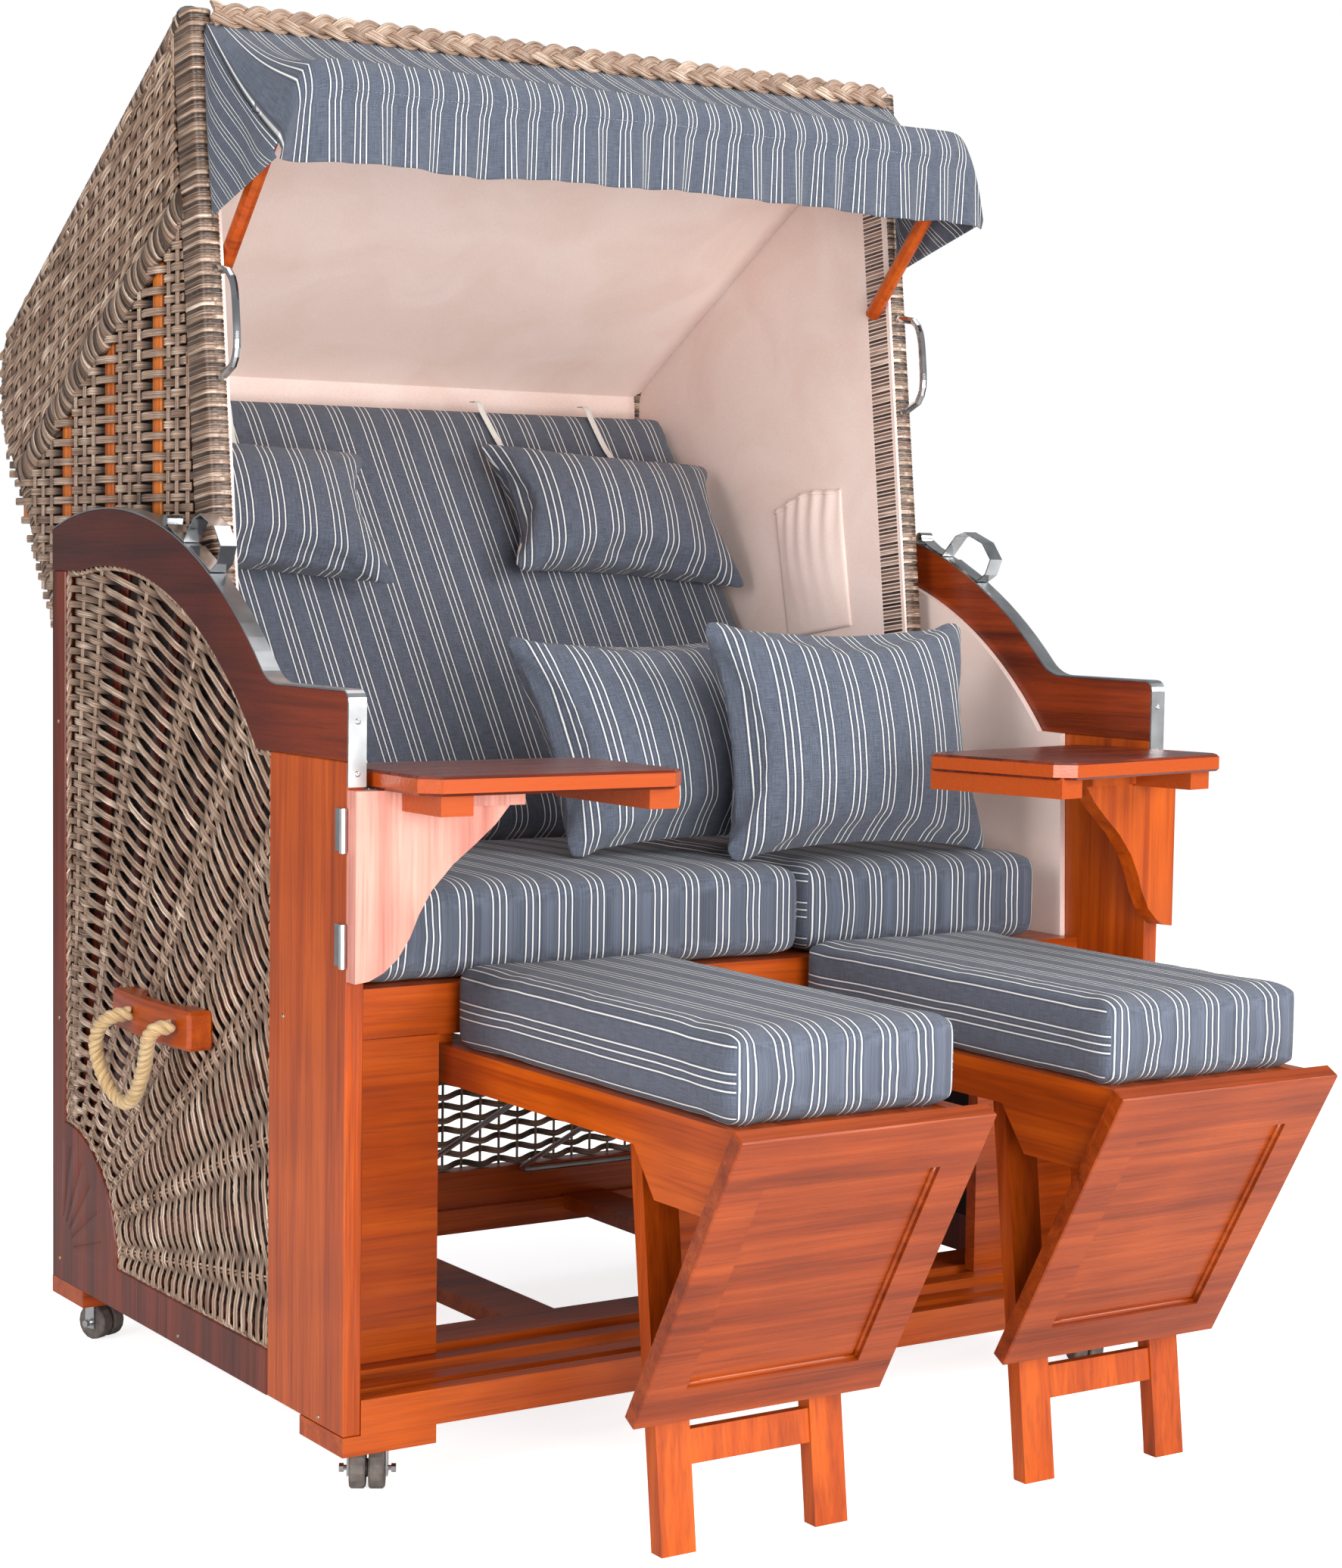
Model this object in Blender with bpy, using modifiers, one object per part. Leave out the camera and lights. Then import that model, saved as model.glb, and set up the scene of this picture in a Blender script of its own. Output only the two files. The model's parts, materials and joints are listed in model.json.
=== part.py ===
"""Hooded two-seat beach chair: wooden base on castors, tilting wicker hood, canopy, footrests, side tables.

Lengths are in metres and angles in degrees. X runs across the chair, Y runs from the front to the back,
Z runs up. The pieces are laid out from the front face of the front posts, and the root empty then
brings the middle of the whole chair's footprint to the world's origin.
"""

import math

import bmesh
import bpy
import numpy as np
from mathutils import Matrix, Vector
from mathutils.bvhtree import BVHTree

# Clearances and counts
GAP = 0.0003
OVERLAP = 0.001
WELD = 0.00001
ARC_STEPS = 14
EDGE_SEGMENTS = 1
ROUND_SIDES = 16

# Base walls
BASE_WIDTH = 1.14
BASE_DEPTH = 0.833
WALL = 0.0213
BASE_BOTTOM = 0.079
POST_WIDTH = 0.187
POST_TOP = 0.800
REAR_POST_WIDTH = 0.043
BOTTOM_RAIL_HEIGHT = 0.052
FAN_WIDTH = 0.170
FAN_HEIGHT = 0.156
WOOD_EDGE = 0.0015

# Arched arm, struck from the hood's pivot
PIVOT_Y = 0.655
PIVOT_Z = 0.430
ARCH_OUTER_RADIUS = 0.638
ARCH_DEPTH = 0.069
ARM_TOP = 0.873
ARM_FILLET = 0.060
ARM_CORNER = 0.011
ARCH_REAR_FLAT = 0.046

# Woven side panel and its lining board
WEAVE_RECESS = 0.0040
LINING_THICKNESS = 0.0087
LINING_LAP = 0.014
LINING_FRONT = 0.145
LINING_FRONT_TOP = 0.160
LINING_BOTTOM = 0.360
LINING_REAR_INSET = 0.013

# Steel strip over the arm
STRIP_THICKNESS = 0.0020
STRIP_BOTTOM = 0.773

# Carrying grip and its rope
GRIP_FRONT = 0.340
GRIP_LENGTH = 0.225
GRIP_Z = 0.468
GRIP_HEIGHT = 0.046
GRIP_END_DEPTH = 0.032
GRIP_BULGE = 0.008
GRIP_RECESS = 0.018
GRIP_FOOT = 0.035
GRIP_EDGE = 0.004
ROPE_DIAMETER = 0.0186
ROPE_POINTS = 24
ROPE_ROUTE = [
    (0.6110, 0.490, 0.470), (0.6230, 0.493, 0.469), (0.6320, 0.504, 0.462), (0.6360, 0.519, 0.446),
    (0.6340, 0.528, 0.424), (0.6280, 0.528, 0.400), (0.6210, 0.517, 0.378), (0.6150, 0.500, 0.366),
    (0.6130, 0.480, 0.366), (0.6140, 0.457, 0.379), (0.6170, 0.434, 0.400), (0.6210, 0.412, 0.424),
    (0.6260, 0.394, 0.445), (0.6290, 0.380, 0.461), (0.6230, 0.372, 0.470), (0.6110, 0.370, 0.471)]

# Chassis under the base
BLOCK_WIDTH = 0.113
BLOCK_DEPTH = 0.104
BLOCK_THICKNESS = 0.0215
FRONT_RAIL_THICKNESS = 0.020
FRONT_RAIL_HEIGHT = 0.038
SLAT_THICKNESS = 0.020
SLAT_WIDTH = 0.026
FIRST_SLAT = 0.038
SECOND_SLAT = 0.103
DECK_BOARD_FRONT = 0.145
DECK_BOARD_WIDTH = 0.070
DECK_BOARD_TOP = 0.1225
RUNNER_INNER = 0.170
RUNNER_WIDTH = 0.070
REAR_RAIL_INSET = 0.048
REAR_RAIL_THICKNESS = 0.027
REAR_RAIL_TOP = 0.165
REAR_LEDGE_DEPTH = 0.010
REAR_LEDGE_LOW = 0.092
REAR_LEDGE_TOP = 0.114
REAR_PANEL_THICKNESS = 0.016
REAR_PANEL_TOP = 0.468

# Front boards under the seat
FACIA_THICKNESS = 0.0182
FACIA_SIDE = 0.389
FACIA_MIDDLE = 0.089
FACIA_OPENING_TOP = 0.480
FACIA_STEP_TOP = 0.500
FACIA_STEP = 0.006
SEAT_BOARD_TOP = 0.538
SEAT_BOARD_THICKNESS = 0.018
SEAT_BOARD_REAR = 0.612
SEAT_EAR_REAR = 0.490

# Cushions
SEAT_CUSHION_SIDE_GAP = 0.004
SEAT_CUSHION_SPLIT = 0.118
SEAT_CUSHION_FRONT = 0.130
SEAT_CUSHION_REAR = 0.600
SEAT_CUSHION_HEIGHT = 0.112
CUSHION_EDGE = 0.020
CUSHION_CROWN = 0.006
CUSHION_PINCH = 0.004
BACKREST_FOOT_Y = 0.615
BACKREST_FOOT_Z = 0.664
BACKREST_ANGLE = 35.9
BACKREST_RISE = 0.044
BACKREST_SIDE_GAP = 0.005
BACKREST_THICKNESS = 0.085
PILLOW_LENGTH = 0.355
PILLOW_HEIGHT = 0.215
PILLOW_THICKNESS = 0.105
PILLOW_SEAM = 0.010
PILLOW_PINCH = 0.014
PILLOW_X = 0.286
PILLOW_LEVEL_SHARE = 0.6634
PILLOW_TILT = 4.0
SCATTER_WIDTH = 0.390
SCATTER_HEIGHT = 0.298
SCATTER_THICKNESS = 0.120
SCATTER_SEAM = 0.010
SCATTER_PINCH = 0.012
SCATTER_RIGHT_X = 0.243
SCATTER_RIGHT_Y = 0.220
SCATTER_RIGHT_LEAN = 12.0
SCATTER_RIGHT_TURN = 0.0
SCATTER_LEFT_X = 0.060
SCATTER_LEFT_Y = 0.372
SCATTER_LEFT_LEAN = 27.0
SCATTER_LEFT_TURN = 8.0

# Castors
CASTOR_INSET = 0.055
CASTOR_Y = 0.050
CASTOR_TRAIL = 0.010
WHEEL_RADIUS = 0.0225
WHEEL_WIDTH = 0.0175
WHEEL_SPACE = 0.0036
WHEEL_HUB_RADIUS = 0.010
WHEEL_BORE = 0.0036
WHEEL_EDGE = 0.0020
AXLE_RADIUS = 0.0030
AXLE_END = 0.0310
NUT_RADIUS = 0.0050
NUT_THICKNESS = 0.0050
FORK_THICKNESS = 0.0022
FORK_ARM_HALF = 0.0075
FORK_CROWN_RADIUS = 0.0200
FORK_CROWN_LOW = 0.0475
CASTOR_TURN_FRONT_LEFT = -31.0
CASTOR_TURN_FRONT_RIGHT = -20.0
CASTOR_TURN_REAR_LEFT = 24.0
CASTOR_TURN_REAR_RIGHT = 12.0

# Side tables
HINGE_RADIUS = 0.0042
HINGE_LEAF = 0.0014
HINGE_LEAF_DEPTH = 0.024
HINGE_HEIGHT = 0.047
HINGE_LOW_Z = 0.582
HINGE_HIGH_Z = 0.704
BRACKET_THICKNESS = 0.021
BRACKET_TOP = 0.7700
BRACKET_WIDTH = 0.192
BRACKET_HEIGHT = 0.202
BRACKET_CURVE_SHARES = [(0.985, 0.035), (0.957, 0.099), (0.870, 0.195), (0.744, 0.295), (0.600, 0.400),
                        (0.469, 0.531), (0.390, 0.655), (0.335, 0.775), (0.262, 0.880), (0.174, 0.951),
                        (0.085, 0.990)]
CLEAT_START = 0.106
CLEAT_LENGTH = 0.088
CLEAT_HEIGHT = 0.018
CLEAT_DEPTH = 0.016
TABLE_LENGTH = 0.3225
TABLE_DEPTH = 0.220
TABLE_THICKNESS = 0.0205
TABLE_INSET = 0.0343
TABLE_REAR = 0.101
TABLE_CORNER = 0.020
TABLE_EDGE = 0.003
BATTEN_WIDTH = 0.038
BATTEN_THICKNESS = 0.022
BATTEN_INSET = 0.012
INNER_BATTEN_START = 0.033
OUTER_BATTEN_START = 0.287
RIGHT_TABLE_TURN = 12.0

# Footrests
FOOTREST_X = 0.240
FOOTREST_HALF = 0.1412
FRAME_TOP = 0.468
FRAME_RAIL_HEIGHT = 0.043
FRAME_RAIL_THICKNESS = 0.020
FRAME_REAR = 0.165
FRAME_DECK = 0.010
FRAME_DEEP = 0.093
FRAME_DEEP_START = -0.310
FRAME_DEEP_RUN = 0.040
FRAME_CROSS = 0.020
FRAME_EAR = 0.0195
FRAME_EAR_RISE = 0.026
PANEL_HALF = 0.156
PANEL_LENGTH = 0.374
PANEL_THICKNESS = 0.020
PANEL_ANGLE = 29.65
PANEL_TOP_Y = -0.485
PANEL_TOP_Z = 0.464
PANEL_BORDER = 0.048
PANEL_TOP_BORDER = 0.062
PANEL_RECESS = 0.007
LEG_HALF = 0.1175
LEG_WIDTH = 0.042
LEG_THICKNESS = 0.020
LEG_PIVOT_Y = -0.234
LEG_PIVOT_Z = 0.442
LEG_LEAN = 7.0
LEG_PIN_RADIUS = 0.004
LEG_BAR_Z = 0.105
LEG_BAR_HEIGHT = 0.036
LEG_BAR_THICKNESS = 0.016
FOOT_CUSHION_FRONT = -0.445
FOOT_CUSHION_REAR = 0.115
FOOT_CUSHION_HEIGHT = 0.092
FOOT_CUSHION_EDGE = 0.010
TILT_AXIS_Y = 0.150
TILT_AXIS_Z = 0.440

# Guide rods under the seat
ROD_RADIUS = 0.004
ROD_TOP_Z = 0.488
ROD_BOTTOM_Z = 0.158
ROD_CORNER = 0.020

# Hood
HOOD_SIDE_GAP = 0.023
HOOD_SIDE_THICKNESS = 0.024
HOOD_FRONT_TOP_Y = 0.514
HOOD_TOP_Z = 1.665
HOOD_FRONT_LOW_Y = 0.400
HOOD_FRONT_LOW_Z = 0.690
HOOD_BROW_Y = 0.530
HOOD_BROW_DROP = 0.020
ROOF_FRONT_Y = 0.571
ROOF_FRONT_DROP = 0.019
ROOF_REAR_DROP = 0.335
HOOD_REAR_ROUND = 0.057
HOOD_REAR_BULGE = 0.00107
HOOD_REAR_TOP_DROP = 0.376
HOOD_REAR_LOW_DROP = 0.465
HOOD_BOSS_RADIUS = 0.055
HOOD_WALL = 0.0402
HOOD_RAIL_LOW = 0.053
PIVOT_STUB_RADIUS = 0.012
HOOD_CORNER_POINTS = 5

# Bow handles on the hood
BOW_TOP_DROP = 0.315
BOW_LOW_DROP = 0.443
BOW_REACH = 0.046
BOW_RADIUS = 0.0048
BOW_FOOT = 0.004
BOW_POINTS = 15

# Latch levers
LATCH_SHARE = 0.27743
LATCH_STANDOFF = 0.01014
LATCH_BOLT_RADIUS = 0.0045
LATCH_BARREL_RADIUS = 0.0068
LATCH_BAND = 0.0198
LATCH_THICKNESS = 0.0018
LATCH_CLEARANCE = 0.0009
LATCH_HEEL = -0.053
LATCH_LOOP = [(-0.081, 0.0015), (-0.100, 0.0065), (-0.138, -0.0075), (-0.156, -0.0295), (-0.146, -0.0495)]
LATCH_TOE = -0.128
LATCH_TAIL = -0.069

# Canopy
CANOPY_HINGE_Y = 0.507
CANOPY_HINGE_DROP = 0.310
CANOPY_BAR_Y = 0.316
CANOPY_BAR_DROP = 0.106
CANOPY_ARM_GAP = 0.0108
CANOPY_TUBE_RADIUS = 0.0100
CANOPY_CORNER = 0.045
CLOTH_INSET = 0.011
CLOTH_THICKNESS = 0.0030
CLOTH_TOP_DROP = 0.022
CLOTH_BROW_Y = 0.298
CLOTH_FRONT_DROP = 0.087
CLOTH_BROW_DROP = 0.008
CLOTH_VALANCE = 0.112
CLOTH_FLARE = 0.010
CLOTH_SIDE_DROP = 0.235
CLOTH_SIDE_DROP_FRONT = 0.112
CLOTH_FOLD = 0.006
CLOTH_CLEARANCE = 0.0008
CLOTH_FOLDS = 9
CLOTH_COLUMNS = 36
CLOTH_SIDE_COLUMNS = 3
CLOTH_ROOF_ROWS = 5
CLOTH_VALANCE_ROWS = 3

# Places worked out from the sizes
HALF_WIDTH = BASE_WIDTH / 2
INNER_FACE = HALF_WIDTH - WALL
LINING_FACE = INNER_FACE - LINING_THICKNESS
CASTOR_X = HALF_WIDTH - CASTOR_INSET
ARCH_INNER_RADIUS = ARCH_OUTER_RADIUS - ARCH_DEPTH
ARCH_REAR_Y = BASE_DEPTH - REAR_POST_WIDTH - ARCH_REAR_FLAT
ARCH_REAR_LOW = PIVOT_Z + math.sqrt(ARCH_INNER_RADIUS ** 2 - (ARCH_REAR_Y - PIVOT_Y) ** 2)
LINING_RADIUS = ARCH_INNER_RADIUS + LINING_LAP
LINING_REAR = BASE_DEPTH - LINING_REAR_INSET
REAR_RAIL_FRONT = BASE_DEPTH - REAR_RAIL_INSET
ROOF_FRONT_Z = HOOD_TOP_Z - ROOF_FRONT_DROP
ROOF_REAR_Z = HOOD_TOP_Z - ROOF_REAR_DROP
HOOD_REAR_TOP_Z = HOOD_TOP_Z - HOOD_REAR_TOP_DROP
HOOD_REAR_LOW_Z = HOOD_TOP_Z - HOOD_REAR_LOW_DROP
BACKREST_SINE = math.sin(math.radians(BACKREST_ANGLE))
BACKREST_COSINE = math.cos(math.radians(BACKREST_ANGLE))
HOOD_FOOT_Y = BACKREST_FOOT_Y + (BACKREST_THICKNESS + GAP + HOOD_WALL) * BACKREST_COSINE
HOOD_FOOT_Z = BACKREST_FOOT_Z - (BACKREST_THICKNESS + GAP + HOOD_WALL) * BACKREST_SINE
HOOD_BACK_Y = HOOD_FOOT_Y + (HOOD_REAR_LOW_Z - HOOD_FOOT_Z) * BACKREST_SINE / BACKREST_COSINE
HOOD_REAR_Y = HOOD_BACK_Y + HOOD_REAR_BULGE
ROOF_REAR_Y = HOOD_REAR_Y - HOOD_REAR_ROUND
BACKREST_LENGTH = (HOOD_REAR_LOW_Z + BACKREST_RISE - BACKREST_FOOT_Z) / BACKREST_COSINE
PILLOW_LEVEL = BACKREST_LENGTH * PILLOW_LEVEL_SHARE
BOW_TOP_Z = HOOD_TOP_Z - BOW_TOP_DROP
BOW_LOW_Z = HOOD_TOP_Z - BOW_LOW_DROP
LATCH_Y = PIVOT_Y - LATCH_SHARE * ARCH_OUTER_RADIUS
LATCH_Z = PIVOT_Z + math.sqrt((ARCH_OUTER_RADIUS + LATCH_STANDOFF) ** 2 - (LATCH_Y - PIVOT_Y) ** 2)
CANOPY_HINGE_Z = HOOD_TOP_Z - CANOPY_HINGE_DROP
CANOPY_BAR_Z = HOOD_TOP_Z - CANOPY_BAR_DROP
CLOTH_BROW_Z = HOOD_TOP_Z - CLOTH_FRONT_DROP
FRONT_REACH = -PANEL_TOP_Y - WOOD_EDGE * math.sin(math.radians(PANEL_ANGLE))
CHAIR_MIDDLE_Y = (HOOD_REAR_Y - FRONT_REACH) / 2
BLOCK_TOP = BASE_BOTTOM - GAP
BLOCK_BOTTOM = BLOCK_TOP - BLOCK_THICKNESS
CHASSIS_LOW = BLOCK_TOP - OVERLAP
CHASSIS_HALF = INNER_FACE - GAP
RAIL_TOP = BASE_BOTTOM + BOTTOM_RAIL_HEIGHT
REAR_POST_FRONT = BASE_DEPTH - REAR_POST_WIDTH
FACIA_REAR = LINING_FRONT - GAP
FACIA_FRONT = FACIA_REAR - FACIA_THICKNESS
HOOD_HALF = LINING_FACE - HOOD_SIDE_GAP
HOOD_INNER = HOOD_HALF - HOOD_SIDE_THICKNESS
SEAT_CUSHION_HALF = HOOD_INNER - SEAT_CUSHION_SIDE_GAP
BACKREST_HALF = HOOD_INNER - BACKREST_SIDE_GAP
CANOPY_ARM_X = HOOD_INNER - CANOPY_ARM_GAP
CLOTH_HALF = HOOD_HALF - CLOTH_INSET
SEAT_TOP = SEAT_BOARD_TOP + GAP + SEAT_CUSHION_HEIGHT
HINGE_X = HALF_WIDTH + GAP + HINGE_RADIUS
AXLE_Z = WHEEL_RADIUS
HOOD_PIVOT = (0, PIVOT_Y, PIVOT_Z)
CANOPY_HINGE = (0, CANOPY_HINGE_Y, CANOPY_HINGE_Z)
SIDES = (("left", -1), ("right", 1))


def clear_scene():
    """Remove what the scene holds at the start."""
    for old in list(bpy.data.objects):
        bpy.data.objects.remove(old, do_unlink=True)


clear_scene()
CHAIR = bpy.data.collections.new("hooded_beach_chair")
bpy.context.scene.collection.children.link(CHAIR)
ROOT = bpy.data.objects.new("chair_root", None)
ROOT.location = (0, -CHAIR_MIDDLE_Y, 0)
CHAIR.objects.link(ROOT)


def new_material(name, colour, roughness, metallic):
    """Principled material with one colour."""
    material = bpy.data.materials.new(name)
    material.use_nodes = True
    shader = material.node_tree.nodes["Principled BSDF"]
    shader.inputs["Base Color"].default_value = (*colour, 1)
    shader.inputs["Roughness"].default_value = roughness
    shader.inputs["Metallic"].default_value = metallic
    return material


WOOD = new_material("stained_hardwood", (0.42, 0.10, 0.02), 0.35, 0)
WICKER = new_material("woven_strands", (0.20, 0.14, 0.10), 0.5, 0)
STEEL = new_material("bright_steel", (0.62, 0.63, 0.65), 0.25, 1)
FABRIC = new_material("striped_fabric", (0.15, 0.17, 0.22), 0.9, 0)
ROPE = new_material("jute_rope", (0.55, 0.38, 0.20), 0.95, 0)
WHEEL = new_material("grey_rubber", (0.16, 0.13, 0.12), 0.7, 0)


def add_object(name, data):
    """Object for a mesh or a curve, in the chair's collection."""
    item = bpy.data.objects.new(name, data)
    CHAIR.objects.link(item)
    return item


def as_mesh(item):
    """Turn an object with modifiers, or a curve, into a plain closed mesh at the origin."""
    view = bpy.context.evaluated_depsgraph_get()
    mesh = bpy.data.meshes.new_from_object(item.evaluated_get(view), depsgraph=view)
    mesh.transform(item.matrix_world)
    shape = bmesh.new()
    shape.from_mesh(mesh)
    bmesh.ops.remove_doubles(shape, verts=shape.verts, dist=WELD)
    shape.to_mesh(mesh)
    shape.free()
    name = item.name
    bpy.data.objects.remove(item, do_unlink=True)
    return add_object(name, mesh)



def block(name, low, high):
    """Box between two corners, starting from a cube."""
    mesh = bpy.data.meshes.new(name)
    shape = bmesh.new()
    size = [top - bottom for bottom, top in zip(low, high)]
    middle = [(top + bottom) / 2 for bottom, top in zip(low, high)]
    bmesh.ops.create_cube(shape, size=1, matrix=Matrix.LocRotScale(Vector(middle), None, Vector(size)))
    shape.to_mesh(mesh)
    shape.free()
    return add_object(name, mesh)


def mirrored_block(name, side, low, high):
    """Box given for the right side, mirrored for the left one."""
    across = sorted((side * low[0], side * high[0]))
    return block(name, (across[0], low[1], low[2]), (across[1], high[1], high[2]))


PLANES = {
    "x": Matrix(((0, 0, 1, 0), (1, 0, 0, 0), (0, 1, 0, 0), (0, 0, 0, 1))),
    "y": Matrix(((1, 0, 0, 0), (0, 0, -1, 0), (0, 1, 0, 0), (0, 0, 0, 1))),
    "z": Matrix.Identity(4)}


def plate(name, outline, normal, start, end):
    """Flat piece: an outline, filled and extruded between two places along its normal."""
    curve = bpy.data.curves.new(name, "CURVE")
    curve.dimensions = "2D"
    curve.fill_mode = "BOTH"
    curve.extrude = abs(end - start) / 2
    line = curve.splines.new("POLY")
    line.points.add(len(outline) - 1)
    for point, (across, up) in zip(line.points, outline):
        point.co = (across, up, 0, 1)
    line.use_cyclic_u = True
    item = add_object(name, curve)
    middle = (start + end) / 2
    lift = -middle if normal == "y" else middle
    item.matrix_world = PLANES[normal] @ Matrix.Translation((0, 0, lift))
    return as_mesh(item)


def peg(name, start, end, radius, sides=ROUND_SIDES):
    """Round bar between two points."""
    mesh = bpy.data.meshes.new(name)
    shape = bmesh.new()
    run = Vector(end) - Vector(start)
    turn = run.to_track_quat("Z", "Y").to_matrix().to_4x4()
    place = Matrix.Translation((Vector(start) + Vector(end)) / 2) @ turn
    bmesh.ops.create_cone(shape, cap_ends=True, segments=sides, radius1=radius, radius2=radius,
                          depth=run.length, matrix=place)
    shape.to_mesh(mesh)
    shape.free()
    return add_object(name, mesh)


def tube(name, points, radius):
    """Round tube along points, closed at both ends."""
    curve = bpy.data.curves.new(name, "CURVE")
    curve.dimensions = "3D"
    curve.bevel_depth = radius
    curve.bevel_resolution = 2
    curve.use_fill_caps = True
    line = curve.splines.new("POLY")
    line.points.add(len(points) - 1)
    for point, place in zip(line.points, points):
        point.co = (*place, 1)
    return as_mesh(add_object(name, curve))


def combine(base, others, operation="UNION"):
    """Join pieces to a base, or cut them out of it, and return the result as one mesh."""
    for other in others:
        step = base.modifiers.new("step", "BOOLEAN")
        step.operation = operation
        step.solver = "EXACT"
        step.object = other
        base = as_mesh(base)
        bpy.data.objects.remove(other, do_unlink=True)
    return base


def cut(base, others):
    """Cut pieces out of a base."""
    return combine(base, others, "DIFFERENCE")


def soften(item, width, sharp=50):
    """Eased outer edges on a piece of wood; its inside corners stay sharp."""
    shape = bmesh.new()
    shape.from_mesh(item.data)
    weight = shape.edges.layers.float.new("bevel_weight_edge")
    for line in shape.edges:
        if line.is_convex and line.calc_face_angle() > math.radians(sharp):
            line[weight] = 1
    shape.to_mesh(item.data)
    shape.free()
    edge = item.modifiers.new("edge", "BEVEL")
    edge.width = width
    edge.segments = EDGE_SEGMENTS
    edge.limit_method = "WEIGHT"


def turn_about(item, place, axis, angle):
    """Turn a mesh about an axis through a place."""
    there = Matrix.Translation(Vector(place))
    item.data.transform(there @ Matrix.Rotation(math.radians(angle), 4, axis) @ there.inverted())


def finish(item, name, material, origin=(0, 0, 0)):
    """Name a piece, give it its finish and put its own origin on its joint's axis."""
    item.name = name
    item.data.name = name
    item.data.transform(Matrix.Translation(-Vector(origin)))
    item.location = origin
    item.parent = ROOT
    item.data.materials.clear()
    item.data.materials.append(material)
    return item


def smooth(item, angle=40):
    """Shade a round piece smooth, with its sharp edges kept."""
    item.data.shade_smooth()
    item.data.set_sharp_from_angle(angle=math.radians(angle))


def arc(centre, radii, first, last, steps=ARC_STEPS):
    """Points on an ellipse between two angles."""
    angles = np.radians(np.linspace(first, last, steps + 1))
    across = centre[0] + radii[0] * np.cos(angles)
    up = centre[1] + radii[1] * np.sin(angles)
    return list(zip(across.tolist(), up.tolist()))


def flow(points, count, closed=False):
    """Evenly spaced points on a smooth curve through chosen points (Catmull-Rom)."""
    knots = np.asarray(points, dtype=float)
    if closed:
        knots = np.vstack([knots[-1], knots, knots[0], knots[1]])
    else:
        knots = np.vstack([2 * knots[0] - knots[1], knots, 2 * knots[-1] - knots[-2]])
    share = np.linspace(0, 1, 40, endpoint=False)[:, None]
    spans = []
    for first, second, third, fourth in zip(knots[:-3], knots[1:-2], knots[2:-1], knots[3:]):
        spans.append(0.5 * (2 * second + (third - first) * share
                            + (2 * first - 5 * second + 4 * third - fourth) * share ** 2
                            + (3 * second - first - 3 * third + fourth) * share ** 3))
    fine = np.vstack(spans + [knots[-2][None, :]])
    along = np.concatenate([[0], np.cumsum(np.linalg.norm(np.diff(fine, axis=0), axis=1))])
    even = np.linspace(0, along[-1], count)
    columns = [np.interp(even, along, fine[:, axis]) for axis in range(fine.shape[1])]
    return [tuple(point) for point in np.stack(columns, axis=1).tolist()]


def offset_line(points, distance):
    """Points of a chain moved sideways by a distance, with mitred corners."""
    chain = np.asarray(points, dtype=float)
    runs = np.diff(chain, axis=0)
    runs /= np.linalg.norm(runs, axis=1)[:, None]
    normals = np.stack([runs[:, 1], -runs[:, 0]], axis=1)
    first = np.vstack([normals[0], normals])
    second = np.vstack([normals, normals[-1]])
    mitre = first + second
    mitre /= np.sum(mitre * first, axis=1)[:, None]
    return [tuple(point) for point in (chain + distance * mitre).tolist()]


def arm_line(offset):
    """Top of the arched arm from the back to the foot of its front face, moved out by an offset."""
    radius = ARCH_OUTER_RADIUS + offset
    fillet = ARM_FILLET - offset
    rear_angle = math.degrees(math.acos((BASE_DEPTH - PIVOT_Y) / radius))
    fillet_z = ARM_TOP + ARM_FILLET
    reach = ARCH_OUTER_RADIUS + ARM_FILLET
    fillet_y = PIVOT_Y - math.sqrt(reach ** 2 - (fillet_z - PIVOT_Z) ** 2)
    meet = math.degrees(math.atan2(fillet_z - PIVOT_Z, fillet_y - PIVOT_Y))
    line = arc((PIVOT_Y, PIVOT_Z), (radius, radius), rear_angle, meet, 2 * ARC_STEPS)
    line += arc((fillet_y, fillet_z), (fillet, fillet), meet - 180, -90, ARC_STEPS // 2)
    corner = ARM_CORNER + offset
    line += arc((ARM_CORNER, ARM_TOP - ARM_CORNER), (corner, corner), 90, 180, ARC_STEPS // 3)
    return line


def inner_arc(radius, low, rear):
    """Arc struck from the hood's pivot, from a height at the front to a depth at the back."""
    first = 180 - math.degrees(math.asin((low - PIVOT_Z) / radius))
    last = math.degrees(math.acos((rear - PIVOT_Y) / radius))
    return arc((PIVOT_Y, PIVOT_Z), (radius, radius), first, last, 2 * ARC_STEPS)


def make_front_post(word, side):
    """Wide front post of the base wall."""
    post = mirrored_block("post", side, (INNER_FACE, 0, BASE_BOTTOM),
                          (HALF_WIDTH, POST_WIDTH, POST_TOP - GAP))
    soften(post, WOOD_EDGE)
    finish(post, "front_post_" + word, WOOD)


def make_arm_arch(word, side):
    """Arched arm on top of the post and the side panel."""
    outline = arm_line(0)
    outline += [(0, POST_TOP)]
    outline += inner_arc(ARCH_INNER_RADIUS, POST_TOP, ARCH_REAR_Y)
    outline += [(BASE_DEPTH, ARCH_REAR_LOW)]
    arch = plate("arch", outline, "x", side * INNER_FACE, side * HALF_WIDTH)
    soften(arch, WOOD_EDGE)
    finish(arch, "arm_arch_" + word, WOOD)


def fan_edge(offset):
    """Rounded edge of the carved corner, from the rear post down to the bottom rail, moved out."""
    centre = (REAR_POST_FRONT, RAIL_TOP)
    points = arc(centre, (FAN_WIDTH + offset, FAN_HEIGHT + offset), 90, 180)
    top, after = Vector(points[0]), Vector(points[1])
    low, before = Vector(points[-1]), Vector(points[-2])
    points[0] = tuple(top.lerp(after, offset / (top.x - after.x)))
    points[-1] = tuple(low.lerp(before, offset / (before.y - low.y)))
    return points


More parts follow.
